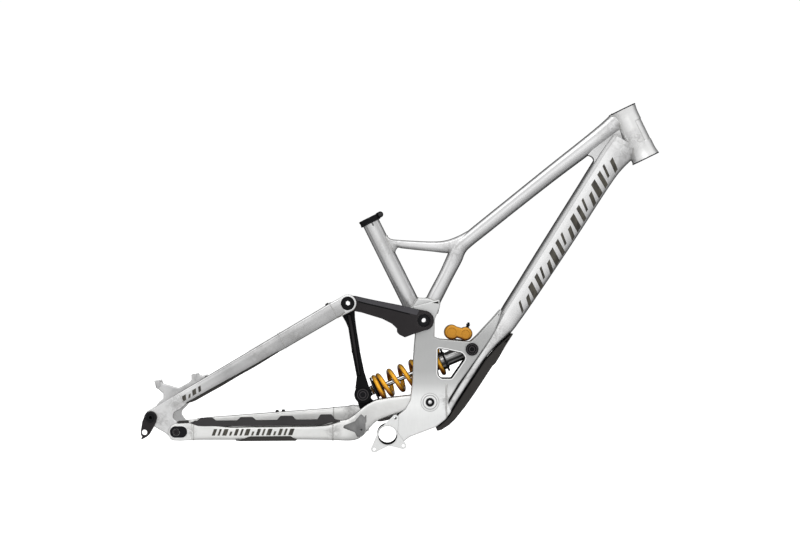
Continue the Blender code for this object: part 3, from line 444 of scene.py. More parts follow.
# =============================================================== mesh builder
class Shape:
    """Collects closed shells, in millimetres, into one piece."""

    def __init__(self):
        self.v, self.f, self.m = [], [], []

    def add(self, verts, faces, mat=0):
        k = len(self.v)
        self.v += [tuple(p) for p in verts]
        self.f += [tuple(i + k for i in f) for f in faces]
        self.m += [mat] * len(faces)
        return self

    def loft(self, rings, mat=0, caps=(True, True), loop=False):
        n = len(rings[0])
        v = [p for r in rings for p in r]
        f = []
        m = len(rings)
        for k in range(m if loop else m - 1):
            a, b = k * n, ((k + 1) % m) * n
            f += [(a + i, b + i, b + (i + 1) % n, a + (i + 1) % n) for i in range(n)]
        for on, ring0, rev in ((caps[0] and not loop, 0, False), (caps[1] and not loop, (m - 1) * n, True)):
            if on:
                idx = list(range(ring0, ring0 + n))
                c = [sum(v[i][k] for i in idx) / n for k in range(3)]
                v.append(tuple(c))
                f += [((idx[(i + 1) % n], idx[i], len(v) - 1) if not rev
                       else (idx[i], idx[(i + 1) % n], len(v) - 1)) for i in range(n)]
        return self.add(v, f, mat)

    def turned(self, profile, origin, axis, n=56, mat=0, ring=True):
        """Profile of (distance along the axis, radius), as a closed loop."""
        w = Vector(axis).normalized()
        u = Vector((0, 1, 0)) if abs(w.y) < 0.9 else Vector((1, 0, 0))
        u = (u - w * u.dot(w)).normalized()
        t = w.cross(u)
        o = Vector(origin)
        rings = [[tuple(o + w * d + (u * math.cos(2 * math.pi * i / n)
                                     + t * math.sin(2 * math.pi * i / n)) * r)
                  for i in range(n)] for d, r in profile]
        return self.loft(rings, mat, (not ring, not ring), ring)

    def plate(self, outline, y_back, y_face, r=1.2, holes=(), steps=3, creases=(), mat=0,
              r_back=None, hole_r=0.5, sink=None):
        """Outline in XZ from y_back to y_face, with rounded edges and holes.
        creases: (points, depth below the face, closed) lines laid in the face.
        sink(x, z): how far the face lies below y_face there."""
        outline = clean(outline)
        s = 1 if y_face > y_back else -1
        rb = r if r_back is None else r_back
        hs = [clean(h) for h in holes]
        levels = []
        for k in range(steps + 1):
            a = math.pi / 2 * k / steps
            levels.append((rb * (1 - math.sin(a)), y_back + s * rb * (1 - math.cos(a)), (1 - math.sin(a))))
        for k in range(steps + 1):
            a = math.pi / 2 * (1 - k / steps)
            levels.append((r * (1 - math.sin(a)), y_face - s * r * (1 - math.cos(a)), (1 - math.sin(a))))
        loops = [outline] + hs
        for j, lp in enumerate(loops):
            rings = []
            for ins, y, q in levels:
                d = ins if j == 0 else -min(hole_r, r) * q
                dip = sink if sink and len(rings) > steps else (lambda x, z: 0.0)
                rings.append([(x, y - s * dip(x, z), z) for x, z in offset(lp, d)])
            nn = len(lp)
            v = [p for rg in rings for p in rg]
            f = []
            for k in range(len(rings) - 1):
                a = k * nn
                f += [(a + i, a + nn + i, a + nn + (i + 1) % nn, a + (i + 1) % nn) for i in range(nn)]
            self.add(v, f, mat)
        for ends, y, crs in ((0, y_back, ()), (-1, y_face, creases)):
            ins, _, q = levels[ends]
            pts, edges, ys = [], [], []
            polys = []
            for j, lp in enumerate(loops):
                o = offset(lp, ins if j == 0 else -min(hole_r, r) * q)
                k = len(pts)
                pts += o
                ys += [y - s * (sink(*q2) if sink and ends else 0.0) for q2 in o]
                edges += [(k + i, k + (i + 1) % len(o)) for i in range(len(o))]
                polys.append(o)
            for cp, depth, closed in crs:
                k = len(pts)
                pts += [tuple(c[:2]) for c in cp]
                ys += [y - s * depth] * len(cp)
                edges += [(k + i, k + i + 1) for i in range(len(cp) - 1)]
                if closed:
                    edges.append((k + len(cp) - 1, k))
            ov, _, of, orig, _, _ = delaunay_2d_cdt([Vector(p) for p in pts], edges, [], 1, 1e-6)
            vv = []
            for i, p in enumerate(ov):
                src = orig[i]
                yy = ys[src[0]] if src else y
                vv.append((p.x, yy, p.y))
            ff = []
            for t in of:
                cx = sum(ov[i].x for i in t) / len(t)
                cz = sum(ov[i].y for i in t) / len(t)
                if inside((cx, cz), polys[0]) and not any(inside((cx, cz), h) for h in polys[1:]):
                    ff.append(tuple(t))
            self.add(vv, ff, mat)
        return self

    def build(self, name, mats, body, slot, replaces=(), sharp=40, weighted=True, weld=True):
        me = bpy.data.meshes.new(name)
        me.from_pydata([((x + OX) * MM, y * MM, (z + OZ) * MM) for x, y, z in self.v], [], self.f)
        me.polygons.foreach_set("material_index", self.m)
        bm = bmesh.new()
        bm.from_mesh(me)
        if weld:
            bmesh.ops.remove_doubles(bm, verts=bm.verts, dist=4e-6)
            bmesh.ops.dissolve_degenerate(bm, edges=bm.edges, dist=2e-6)
            loose = [v for v in bm.verts if not v.link_faces]
            bmesh.ops.delete(bm, geom=loose, context="VERTS")
        bmesh.ops.recalc_face_normals(bm, faces=bm.faces)
        bm.to_mesh(me)
        bm.free()
        ob = bpy.data.objects.new(name, me)
        bpy.context.scene.collection.objects.link(ob)
        return dress(ob, mats, body, replaces, sharp, weighted)


def dress(ob, mats, body, replaces=(), sharp=40, weighted=True):
    me = ob.data
    me.materials.clear()
    for m in ([mats] if isinstance(mats, str) else mats):
        me.materials.append(MATS[m])
    me.shade_smooth()
    me.set_sharp_from_angle(angle=math.radians(sharp))
    if weighted:
        w = ob.modifiers.new("normals", "WEIGHTED_NORMAL")
        w.keep_sharp = True
        w.weight = 60
    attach(ob, body)
    if replaces:
        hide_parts(*([replaces] if isinstance(replaces, str) else replaces))
    return ob


def boolean(a, b, op="DIFFERENCE"):
    m = a.modifiers.new("b", "BOOLEAN")
    m.object, m.operation, m.solver = b, op, "EXACT"
    m.material_mode = "TRANSFER"
    deps = bpy.context.evaluated_depsgraph_get()
    me = bpy.data.meshes.new_from_object(a.evaluated_get(deps))
    a.modifiers.clear()
    a.data = me
    bpy.data.objects.remove(b, do_unlink=True)
    return a


def raw_object(shape, mat_names):
    """A bare object for boolean work."""
    me = bpy.data.meshes.new("tmp")
    me.from_pydata([((x + OX) * MM, y * MM, (z + OZ) * MM) for x, y, z in shape.v], [], shape.f)
    me.polygons.foreach_set("material_index", shape.m)
    for m in mat_names:
        me.materials.append(MATS[m])
    bm = bmesh.new()
    bm.from_mesh(me)
    bmesh.ops.remove_doubles(bm, verts=bm.verts, dist=4e-6)
    bmesh.ops.recalc_face_normals(bm, faces=bm.faces)
    bm.to_mesh(me)
    bm.free()
    ob = bpy.data.objects.new("tmp", me)
    bpy.context.scene.collection.objects.link(ob)
    return ob


def smooth_rows(rows, per=7):
    """Rows of numbers joined by a smooth curve through every row."""
    t = [0.0]
    for a, b in zip(rows, rows[1:]):
        t.append(t[-1] + max(0.5, math.dist(a[:4], b[:4])) ** 0.75)
    m = []
    for i in range(len(rows)):
        lo, hi = max(0, i - 1), min(len(rows) - 1, i + 1)
        m.append([(rows[hi][k] - rows[lo][k]) / (t[hi] - t[lo]) for k in range(len(rows[0]))])
    out = []
    for i in range(len(rows) - 1):
        h = t[i + 1] - t[i]
        for j in range(per):
            u = j / per
            h00, h10 = 2 * u ** 3 - 3 * u ** 2 + 1, u ** 3 - 2 * u ** 2 + u
            h01, h11 = -2 * u ** 3 + 3 * u ** 2, u ** 3 - u ** 2
            out.append([h00 * rows[i][k] + h10 * h * m[i][k] + h01 * rows[i + 1][k] + h11 * h * m[i + 1][k]
                        for k in range(len(rows[0]))])
    out.append(list(rows[-1]))
    return out


def tube_rings(rows, n=40, per=7, grooves=()):
    """Rings through rows (upper x, z, lower x, z, y centre, half width, p).
    grooves: (height -1..1, depth, width) soft lines along the sides."""
    rings = []
    for ux, uz, lx, lz, yc, hw, p in smooth_rows(rows, per):
        c = Vector(((ux + lx) / 2, yc, (uz + lz) / 2))
        d = Vector((ux - lx, 0, uz - lz))
        a = d.length / 2
        d.normalize()
        ring = []
        for i in range(n):
            t = 2 * math.pi * (i + 0.5) / n
            ct, st = math.cos(t), math.sin(t)
            x = math.copysign(abs(ct) ** (2 / p), ct)
            y = math.copysign(abs(st) ** (2 / p), st) * hw
            for g, depth, wid in grooves:
                y -= math.copysign(depth * math.exp(-((x - g) / wid) ** 2) * min(1, abs(st) * 1.5), st)
            ring.append(tuple(c + d * (x * a) + Vector((0, y, 0))))
        rings.append(ring)
    return rings


def tree_of(rings, loop=False):
    s = Shape().loft(rings, loop=loop)
    return BVHTree.FromPolygons([Vector(p) for p in s.v], s.f)


def meet(rings, tree):
    """Where each long line of a tube first enters another surface."""
    out = []
    for i in range(len(rings[0])):
        hit = None
        for a, b in zip(rings, rings[1:]):
            p, q = Vector(a[i]), Vector(b[i])
            d = q - p
            if d.length < 1e-6:
                continue
            loc = tree.ray_cast(p, d.normalized(), d.length * 1.001)[0]
            if loc is not None:
                hit = loc
                break
        out.append(hit)
    return out


def bead(shape, pts, r=1.5, mat=0, pitch=2.8, sides=10):
    """A rippled weld bead along points; None breaks the line."""
    runs = []
    n = len(pts)
    if all(p is not None for p in pts):
        runs = [(list(pts) + [pts[0]], True)]
    else:
        start = next((i for i in range(n) if pts[i] is None), 0)
        cur = []
        for k in range(n + 1):
            p = pts[(start + k) % n]
            if p is None:
                if len(cur) > 2:
                    runs.append((cur, False))
                cur = []
            else:
                cur.append(p)
    for run, closed in runs:
        d = [0.0]
        for a, b in zip(run, run[1:]):
            d.append(d[-1] + (b - a).length)
        total = d[-1]
        m = max(8, int(total / 0.75))
        path = []
        j = 0
        for i in range(m if closed else m + 1):
            s = total * i / m
            while j < len(d) - 2 and d[j + 1] < s:
                j += 1
            f = (s - d[j]) / max(1e-9, d[j + 1] - d[j])
            path.append(run[j].lerp(run[j + 1], f))
        for _ in range(3):
            path = [(path[i - 1] + path[i] * 2 + path[(i + 1) % len(path)]) / 4
                    if closed or 0 < i < len(path) - 1 else path[i] for i in range(len(path))]
        rings = []
        k = max(1, round(total / pitch))
        for i, p in enumerate(path):
            a = path[i - 1] if (closed or i) else path[0]
            b = path[(i + 1) % len(path)] if (closed or i < len(path) - 1) else path[-1]
            t = (b - a).normalized()
            u = t.orthogonal().normalized() if abs(t.y) > 0.99 else t.cross(Vector((0, 1, 0))).normalized()
            w = t.cross(u)
            rr = r * (1 + 0.14 * math.sin(2 * math.pi * k * i / m))
            if not closed:
                rr *= min(1.0, (min(i, len(path) - 1 - i) + 0.6) / 4)
            rings.append([tuple(p + (u * math.cos(2 * math.pi * q / sides)
                                     + w * math.sin(2 * math.pi * q / sides)) * rr) for q in range(sides)])
        shape.loft(rings, mat, (not closed, not closed), closed)
    return shape


def decal(shape, quads, tree, side, lift=0.16, mat=0, nu=5, nv=14):
    """Thin painted patches laid on a surface, seen from one side."""
    for quad in quads:
        a, b, c, d = (Vector(p) for p in quad)
        top, bot = [], []
        ok = True
        for j in range(nv + 1):
            for i in range(nu + 1):
                u, v = i / nu, j / nv
                q = a.lerp(b, u).lerp(d.lerp(c, u), v)
                loc, nor, _, _ = tree.ray_cast(Vector((q.x, side * 150, q.y)), Vector((0, -side, 0)))
                if loc is None:
                    ok = False
                    break
                if nor.y * side < 0:
                    nor = -nor
                top.append(tuple(loc + nor * lift))
                bot.append(tuple(loc - nor * 0.25))
            if not ok:
                break
        if not ok:
            continue
        w = nu + 1
        k = len(top)
        f = []
        for j in range(nv):
            for i in range(nu):
                p = j * w + i
                f.append((p, p + 1, p + w + 1, p + w))
                f.append((k + p, k + p + w, k + p + w + 1, k + p + 1))
        rim = ([i for i in range(w)] + [j * w + nu for j in range(1, nv + 1)]
               + [nv * w + i for i in range(nu - 1, -1, -1)] + [j * w for j in range(nv - 1, 0, -1)])
        for p, q in zip(rim, rim[1:] + rim[:1]):
            f.append((p, k + p, k + q, q))
        shape.add(top + bot, f, mat)
    return shape


def at(p, y=0.0):
    return (p[0], y, p[1])


def along(t, r=0.0, y=0.0):
    return (SEYE[0] + SH[0] * t - SH[1] * r, y, SEYE[1] + SH[1] * t + SH[0] * r)


def span(side, a, b):
    """(inner, outer) y on one side."""
    return (side * a, side * b)


AX = (SH[0], 0, SH[1])
Y = (0, 1, 0)

# ============================================================= front triangle
FT = "front_triangle"
WINDOW = rounded([(95.5, 164, 3), (95.5, 114, 9), (103, 107.6, 4), (121, 107.6, 5),
                  (147.5, 146, 7), (141, 155, 8), (112, 161.5, 4)], 8)
PLATE = rounded([
    (48, 244), (71, 250, 8), (99, 257.5, 1.5), (99.5, 243, 5), (89.5, 220, 12),
    (88.8, 186, 3), (98, 182, 4), (140, 178.5, 6), (157, 177, 6), (169, 188, 10),
    (204, 226, 20), (217.5, 242, 3), (212, 220, 16), (203, 196, 16), (189, 174, 16),
    (151, 120, 16), (134, 97, 16), (114, 64, 14), (121, 45, 8), (110, 30, 8),
    (91.5, 15.2, 10), (42, -3.5, 6), (30, -12.5, 3)] + [
    p for p in arc(0, 0, 18.6, -42, 74, 24)] + [
    (22, 40, 3), (33, 48.5, 8), (43, 66, 12), (47, 100, 30), (48.3, 140, 30),
    (52.5, 190, 20)])

DN, DD = (0.8514, -0.5245), (0.5245, 0.8514)
TN, TD = (-0.6274, 0.7787), (0.7787, 0.6274)


def row(nv, dv, s, top, bot, hw, p):
    return (nv[0] * top + dv[0] * s, nv[1] * top + dv[1] * s,
            nv[0] * bot + dv[0] * s, nv[1] * bot + dv[1] * s, 0, hw, p)


DT_ROWS = [row(DN, DD, *q) for q in (
    (712, 62, 125, 23, 2.7), (690, 60.5, 122, 23.6, 2.7), (672, 60, 117.6, 24, 2.7),
    (655, 60, 114.4, 24.3, 2.7), (630, 60, 112.4, 24.6, 2.7), (580, 60, 111, 25.2, 2.8),
    (520, 59.5, 110, 26, 2.8), (430, 59, 107, 28, 2.9), (360, 59, 104, 31, 3.1),
    (318, 59, 101.5, 33.5, 3.3))] + [
    (ux, uz, lx, lz, 0, hw, p) for ux, uz, lx, lz, hw, p in (
        (200, 207, 233.5, 192, 36, 3.5), (184, 174, 206, 167, 37, 3.6),
        (161, 137, 184, 142, 37.8, 3.7), (137, 100, 159, 104, 38.3, 3.8),
        (115, 64, 135, 67, 38.5, 3.8), (101, 38, 115, 35, 38.5, 3.8),
        (88, 26, 99, 20, 38, 3.8))]
TT_ROWS = [row(TN, TD, *q) for q in (
    (716, 208, 170, 20, 2.5), (700, 206.6, 170.5, 20, 2.5), (680, 205.6, 171.5, 20, 2.5),
    (640, 205.4, 173, 20, 2.5), (560, 206, 176, 19.5, 2.5), (470, 206, 177.5, 19, 2.5),
    (390, 206, 178, 18.5, 2.5), (350, 205.8, 178.3, 18.5, 2.5))] + [
    (ux, uz, lx, lz, 0, hw, p) for ux, uz, lx, lz, hw, p in (
        (124, 364, 149, 346.5, 18.5, 2.5), (113, 340, 141, 328, 18.5, 2.5),
        (100, 311, 125, 298, 19, 2.5), (81, 275, 106, 260.5, 20, 2.6),
        (68, 249, 94, 237, 21, 2.7))]
BRACE_ROWS = [
    (-12, 388, 4, 338, 0, 9.5, 2.5), (-3, 380, 13.5, 346.5, 0, 10.8, 2.5),
    (6.5, 372.4, 19.5, 355.0, 0, 11.2, 2.5), (22, 370.4, 27, 354.1, 0, 11.4, 2.5),
    (43, 369, 45, 352, 0, 11.8, 2.5), (88, 367.3, 87, 347.8, 0, 13.2, 2.5),
    (112, 369.8, 112, 345, 0, 14.6, 2.5), (134, 377.8, 136, 346, 0, 15.6, 2.5),
    (152, 387.4, 158, 360, 0, 15, 2.5)]

tt = tube_rings(TT_ROWS, 44, 8, ((0.28, 0.7, 0.14), (-0.62, 0.35, 0.12)))
dt = tube_rings(DT_ROWS, 52, 7, ((0.34, 0.5, 0.12),))
brace = tube_rings(BRACE_ROWS, 36, 7, ((0.1, 0.4, 0.2),))
Shape().loft(dt).build("down_tube", "alloy_down", FT, "raw_alloy", FT)
Shape().loft(tt).build("top_tube", "alloy_top", FT, "raw_alloy")
Shape().loft(brace).build("seat_tube_brace", "alloy_tube", FT, "raw_alloy")

# seat tube, with its clamp slot on the drive side
st_rings = [[tuple(Vector(at(SEAT_TOP)) + Vector((SEAT_DIR[0], 0, SEAT_DIR[1])) * t
                   + (Vector((0, 1, 0)) * math.cos(a) + Vector((-SEAT_DIR[1], 0, SEAT_DIR[0])) * math.sin(a)) * 16.6)
             for a in (2 * math.pi * i / 48 for i in range(48))] for t in range(0, 215, 6)]
seat = raw_object(Shape().turned([(0, 13.7), (0, 16.2), (0.4, 16.6), (206, 16.6), (206, 13.7)],
                                 at(SEAT_TOP), (SEAT_DIR[0], 0, SEAT_DIR[1]), 64), ["alloy_seat", "black_part"])
sl = [(SEAT_TOP[0] + SEAT_DIR[0] * t + 1.6, SEAT_TOP[1] + SEAT_DIR[1] * t + 0.8) for t in (4, 17.0)]
seat = boolean(seat, raw_object(Shape().plate(hull(sl[0], 1.5, sl[1], 1.51, 8), -30, -8, 0.05, steps=1),
                                ["alloy_tube"]))
seat.name = seat.data.name = "seat_tube"
dress(seat, ["alloy_seat"], FT)

# head tube: waisted, with a forged relief on its front half and faced ends
HR = 26.8


def head_radius(t, a):
    """a is the angle from the front of the bicycle."""
    k = max(0.0, min(1.0, min(t, HL - t) / 16))
    r = HR + 0.5 - 1.7 * k * k * (3 - 2 * k)
    if abs(a) < 1.12 and 30 < t < 74:
        e = min((t - 30) / 1.6, (74 - t) / 1.6, (1.12 - abs(a)) / 0.05, 1.0)
        r -= 1.0 * e
    return r


ts = sorted([0.8, 1.3, 3, 6, 10, 14, 18, 23, 28, 30, 30.8, 31.6, 36, 44, 52, 60, 68, 72.4, 73.2, 74,
             78, 83, 88, 92, 96, 99, 102, HL - 1.3, HL - 0.8])
hx, hy = Vector((HD[0], 0, HD[1])), Vector((-HD[1], 0, HD[0]))
AN = [2 * math.pi * i / 112 for i in range(112)]


def head_ring(t, r=None, cut=0.0):
    o = Vector(at(HEAD_TOP)) + hx * t
    return [tuple(o + (hy * math.cos(a) + Vector((0, 1, 0)) * math.sin(a))
                  * (r if r is not None else head_radius(t, (a + math.pi) % (2 * math.pi) - math.pi) - cut))
            for a in AN]


head_out = [head_ring(t, cut=0.5 if t < 1 or t > HL - 1 else 0.0) for t in ts]
head_all = head_out + [head_ring(HL - 0.8, 22.0), head_ring(0.8, 22.0)]
Shape().loft(head_all, loop=True).build("head_tube", "alloy_head", FT, "raw_alloy", sharp=24)
web = [(380, 531.8), (384.5, 530.2), (388, 528.6), (390.8, 526.4), (392.3, 523.2),
       (392.4, 519.5), (391.5, 515), (452, 548), (440, 585), (425, 580)]
Shape().plate(web, -15.5, 15.5, 1.2).build("head_gusset", "alloy_tube", FT, "raw_alloy")

# mast: two side plates, a block at the top and one over the shell
mast = Shape()
for side in (-1, 1):
    mast.plate(PLATE, *span(side, 32, 39), 2.8, [WINDOW, circle(*ROCK, 8.4), circle(*MAIN, 7.6), circle(*FEYE, 6)],
               5, r_back=0.8, hole_r=1.4)
ob = mast.build("mast_plates", ["alloy_machined", "black_shadow"], FT, "raw_alloy", sharp=30)
near_window = offset(clean(WINDOW), -1.15)
for p in ob.data.polygons:
    x, z = p.center.x / MM - OX, p.center.z / MM - OZ
    if abs(p.normal.y) < 0.985 and inside((x, z), near_window):
        p.material_index = 1
# painted highlight: a lighter alloy ring round each window stands in for light on the window's edge
highlight_lips = Shape()
for side in (-1, 1):
    highlight_lips.plate(offset(clean(WINDOW), -3.1), *span(side, 38.6, 39.4), 0.5, [offset(clean(WINDOW), -1.3)], 2,
               hole_r=0.3)
highlight_lips.build("window_highlight_lip", "alloy_boss", FT, "raw_alloy", sharp=30)
inner = Shape()
for side in (-1, 1):
    inner.plate(offset(clean(WINDOW), -4.0), *span(side, 32.3, 31.6), 0.1, [offset(clean(WINDOW), -0.05)], 1,
                hole_r=0.05)
inner.build("window_shadow", "black_shadow", FT, "raw_alloy", sharp=30)
TOPB = rounded([(40, 230), (96, 230), (99.0, 243, 3), (99.0, 256.2, 2), (90, 254.6), (77, 259.5, 2),
                (57.5, 260.0, 2), (50, 248), (43, 242)], 5)
top_block = Shape().plate(TOPB, -31.5, 31.5, 4.0, steps=4)
top_block.build("mast_head", "alloy_machined", FT, "raw_alloy")
bbb = [p for p in arc(0, 0, 18.6, -40, 74, 24)] + [(22, 27), (60, 34), (100, 36), (112, 46), (108, 28.6),
                                                   (91, 16.2), (43, -2.2), (30, -10.5)]
Shape().plate(bbb, -33, 33, 1.0).build("shell_block", "alloy_machined", FT, "raw_alloy")

# ridges that rise from the pivot bosses
boss = Shape()
for side in (-1, 1):
    y = side * 38.2
    for r0, r1, h in ((8.2, 12.6, 1.35), (13.6, 16.6, 1.05)):
        boss.turned([(0, r0), (h, r0), (h + 0.35, r0 + 0.5), (h + 0.35, r1 - 1.2), (h, r1), (0, r1 + 0.3)],
                    at(MAIN, y), (0, side, 0), 72)
    boss.turned([(0, 6.4), (1.2, 6.4), (1.4, 6.8), (1.4, 13.0), (0, 14.2)], at(FEYE, y), (0, side, 0), 72)
boss.build("pivot_bosses", "alloy_machined", FT, "raw_alloy", sharp=28)
# painted shade: thin grey rings on the main pivot bosses and short strips on the mast plates stand in for the shade in
# grooves
lines = Shape()
for side in (-1, 1):
    for r0, r1, h in ((12.5, 13.7, 0.95), (16.8, 17.6, 0.15)):
        lines.turned([(0, r0), (h + 0.9, r0), (h + 0.9, r1), (0, r1)], at(MAIN, side * 38.4), (0, side, 0), 72)
    for x0, x1, z0, z1 in ((91.2, 92.2, 168.5, 184.5), (98.0, 98.7, 170.0, 183.5)):
        lines.plate([(x0, z0), (x1, z0), (x1, z1), (x0, z1)], *span(side, 37.8, 38.5), 0.1)
lines.build("boss_groove_shade", "groove_line", FT, "raw_alloy", sharp=28)

# bottom bracket shell with its thread
prof = [(0.0, 18.2), (0.0, 19.4), (0.5, 19.9), (9.5, 19.9), (10.5, 19.5), (72.5, 19.5), (73.5, 19.9),
        (82.5, 19.9), (83, 19.4), (83, 18.2)]
inner = []
y = 81.9
while y > 1.1:
    deep = y > 62 or y < 21
    inner += [(y, 17.45), (y - 0.55, 17.95 if deep else 17.5)]
    y -= 1.1
ob = Shape().turned(prof + inner, (0, -41.5, 0), Y, 72).build("bottom_bracket_shell",
                                                              ["alloy_machined", "black_shadow"], FT, "raw_alloy",
                                                              sharp=25)
for p in ob.data.polygons:
    x, z = p.center.x / MM - OX, p.center.z / MM - OZ
    if math.hypot(x, z) < 18.1:
        p.material_index = 1
tabs = Shape()
for tx, tz in ((-25.3, -26.6), (29.6, -20.1), (14.8, 32.3)):
    tabs.plate(hull((0, 0), 18.9, (tx, tz), 6.2, 22), -36.4, -40.9, 0.9,
               [circle(0, 0, 18.3, 56), circle(tx, tz, 2.6, 28)], hole_r=0.35)
tabs.build("chain_guide_tabs", "alloy_machined", FT, "raw_alloy")

# weld beads where the tubes run into each other
head_tree = tree_of(head_out)
seat_tree = tree_of(st_rings)
block_tree = BVHTree.FromPolygons([Vector(p) for p in top_block.v], top_block.f)
w = Shape()
bead(w, meet(tt[26::-1], head_tree), 1.7)
bead(w, meet(dt[34::-1], head_tree), 1.8)
bead(w, meet(brace[16::-1], seat_tree), 1.25)
bead(w, meet(tt[-30:], block_tree), 1.3)
bead(w, meet(st_rings[12:], block_tree), 1.3)
for side in (-1, 1):
    y = side * 39.0
    line = [Vector((111.5 + 0.5 * math.sin(z * 0.21), y, z)) for z in range(32, 101, 3)]
    bead(w, [None] + line, 1.5)
    top = [Vector((x, side * 33.0 if x > 98 else side * 39.0, z)) for x, z in
           ((52, 245.4), (60, 247.6), (70, 250.2), (80, 252.8), (90, 255.6))]
w.build("frame_welds", "weld_bead", FT, "raw_alloy", weighted=False, weld=False)

# painted bars, plain and slanted, on the lower half of the down tube
dt_tree = tree_of(dt)
bars = Shape()
s = 318.0
for k in range(19):
    wd = (9.5, 6.0, 9.5, 13.0)[k % 4]
    hi = (80, 80, 87, 80)[k % 4]
    lo = (102.5, 96.0, 102.5, 102.5)[k % 4] + 5.2 * (k / 18)
    q = []
    for t, ds in ((hi, 7), (hi, 7 + wd), (lo, -7 + wd), (lo, -7)):
        q.append((DN[0] * t + DD[0] * (s + ds), DN[1] * t + DD[1] * (s + ds)))
    for side in (-1, 1):
        decal(bars, [q], dt_tree, side)
    s += wd + 9.5
bars.build("down_tube_bars", "dark_graphic", FT, "black_anodised", sharp=60, weighted=False, weld=False)

# headset cups, collar, guard and front hardware
for nm, p, ax in (("headset_cup_upper", HEAD_TOP, hx), ("headset_cup_lower", HEAD_BOT, -hx)):
    Shape().turned([(-0.5, 20.2), (-0.5, 27.4), (-0.2, 27.8), (1.5, 27.8), (1.7, 27.5), (1.7, 26.6), (0.7, 26.0), (0.7, 21.8), (13, 21.8), (13, 19.6),
                    (4.2, 19.6), (3.2, 20.2)], at(p), ax, 80).build(nm + "_shell", "black_part", FT,
                                                                    "black_anodised", nm, sharp=30)
n_out = (0.8956, 0.4449)
lug = (SEAT_TOP[0] + n_out[0] * 23.0 + SEAT_DIR[0] * 4.5, SEAT_TOP[1] + n_out[1] * 23.0 + SEAT_DIR[1] * 4.5)
col = Shape().turned([(0.2, 16.8), (0.2, 19.6), (0.9, 20.5), (2.6, 20.5), (3.2, 19.9), (8.6, 19.9),
                      (9.2, 20.5), (10.9, 20.5), (11.6, 19.6), (11.6, 16.8)],
                     at(SEAT_TOP), (SEAT_DIR[0], 0, SEAT_DIR[1]), 80)
for y0, y1 in ((-8, -0.8), (0.8, 8)):
    col.plate(hull((lug[0] - n_out[0] * 5.0, lug[1] - n_out[1] * 5.0), 5.6, lug, 5.8, 14), y0, y1, 0.9)
col.build("seat_collar_ring", "black_part", FT, "black_anodised", "seat_collar", sharp=28)
b = Shape().turned([(0, 0.01), (0, 2.4), (16, 2.4), (16, 4.0), (16.3, 4.3), (19.2, 4.3), (19.6, 3.9),
                    (19.6, 2.2), (17.2, 2.2), (17.2, 0.01)], at(lug, -8.0), Y, 36)
b.turned([(0, 0.01), (0, 2.0), (0.4, 3.6), (1.2, 3.9), (2.0, 3.9), (2.0, 0.01)], at(lug, -9.6), Y, 36)
b.build("seat_collar_screw", "dark_steel", FT, "steel", "seat_collar_bolt", sharp=30)

GUARD = rounded([
    (234.8, 191.5), (238.8, 192.5, 1), (222, 166, 20), (213, 149, 6), (204.5, 135.5, 8), (199, 130.5, 6),
    (166, 80, 20), (147, 53, 12), (128, 29.5, 10), (117, 19, 6), (102, 9.5, 5), (94, 7.5, 2.5),
    (91.8, 13.6, 1.5), (100, 18.8, 4), (116.2, 34.2, 8), (136.2, 66.2, 20), (160.2, 103.2, 20),
    (185.2, 141.2, 20), (207, 166, 20)], 6)


def guard_sink(x, z):
    """The guard's sides lean in towards its outer edge."""
    t = (x * DN[0] + z * DN[1])
    s2 = x * DD[0] + z * DD[1]
    inner = 100 + (s2 - 60) * 0.035
    return max(0.0, min(4.5, (t - inner + 6) * 0.55)) if s2 > 40 else 1.5


g = Shape()
half = clean(GUARD)
g.plate(half, -8, -33.6, 2.4, steps=4, r_back=0.1, sink=guard_sink)
g.plate(half, 8, 33.6, 2.4, steps=4, r_back=0.1, sink=guard_sink)
g.plate(offset(half, 0.5), -9, 9, 0.1)
g.build("downtube_guard_rubber", "moulded_rubber", FT, "rubber", "downtube_guard", sharp=30)


def pin(name, node, centre, body, ends, r_mid, half_y, bore=0.0, mats="black_part", slot="black_anodised",
        seg=64):
    """A through pin with a stack of (y from the mid plane, radius) at each end."""
    s2 = Shape()
    p = []
    for y, r in ends:
        p.append((y, r))
    full = [(-y, r) for y, r in ends] + [(-half_y, r_mid), (half_y, r_mid)] + [(y, r) for y, r in reversed(ends)]
    if bore:
        full += [(half_y, bore), (-half_y, bore)]
    return s2.turned(full, at(centre), Y, seg, ring=bool(bore)).build(name, mats, body, slot, node, sharp=28)


def hexagon(cx, cz, r, n=6):
    return arc(cx, cz, r, 30, 390, n)[:-1]


# main axle: black ring round a recess that holds a bright domed core
ax = Shape().turned([(-39.4, 6.0), (39.4, 6.0), (39.6, 7.2), (40.6, 7.5), (41.1, 7.0), (41.3, 5.6), (40.2, 4.4),
                     (38.5, 4.3), (38.5, 0.01), (-38.5, 0.01), (-38.5, 4.3), (-40.2, 4.4), (-41.3, 5.6),
                     (-41.1, 7.0), (-40.6, 7.5), (-39.6, 7.2)], at(MAIN), Y, 56)
ax.build("main_axle_pin", "black_part", FT, "black_anodised", "main_axle", sharp=28)
# the core's near-white steel is a painted highlight
core = Shape()
for side in (-1, 1):
    prof = [(37.0, 0.01), (37.0, 4.25), (39.6, 4.25), (40.4, 3.6), (40.9, 2.2), (41.0, 0.01)]
    core.turned([(side * d, r) for d, r in prof], at(MAIN), Y, 40)
core.build("main_axle_socket", "bright_core", FT, "steel")
# rocker axle, hollow right through
pin("rocker_axle_tube", "rocker_axle", ROCK, FT,
    [(50.2, 4.6), (50.2, 6.6), (50.0, 8.9), (49.4, 9.3), (48.9, 9.3), (48.9, 11.6), (48.6, 12.0), (48.3, 12.0),
     (48.3, 7.9)], 7.9, 47.6, 4.5, "black_part")
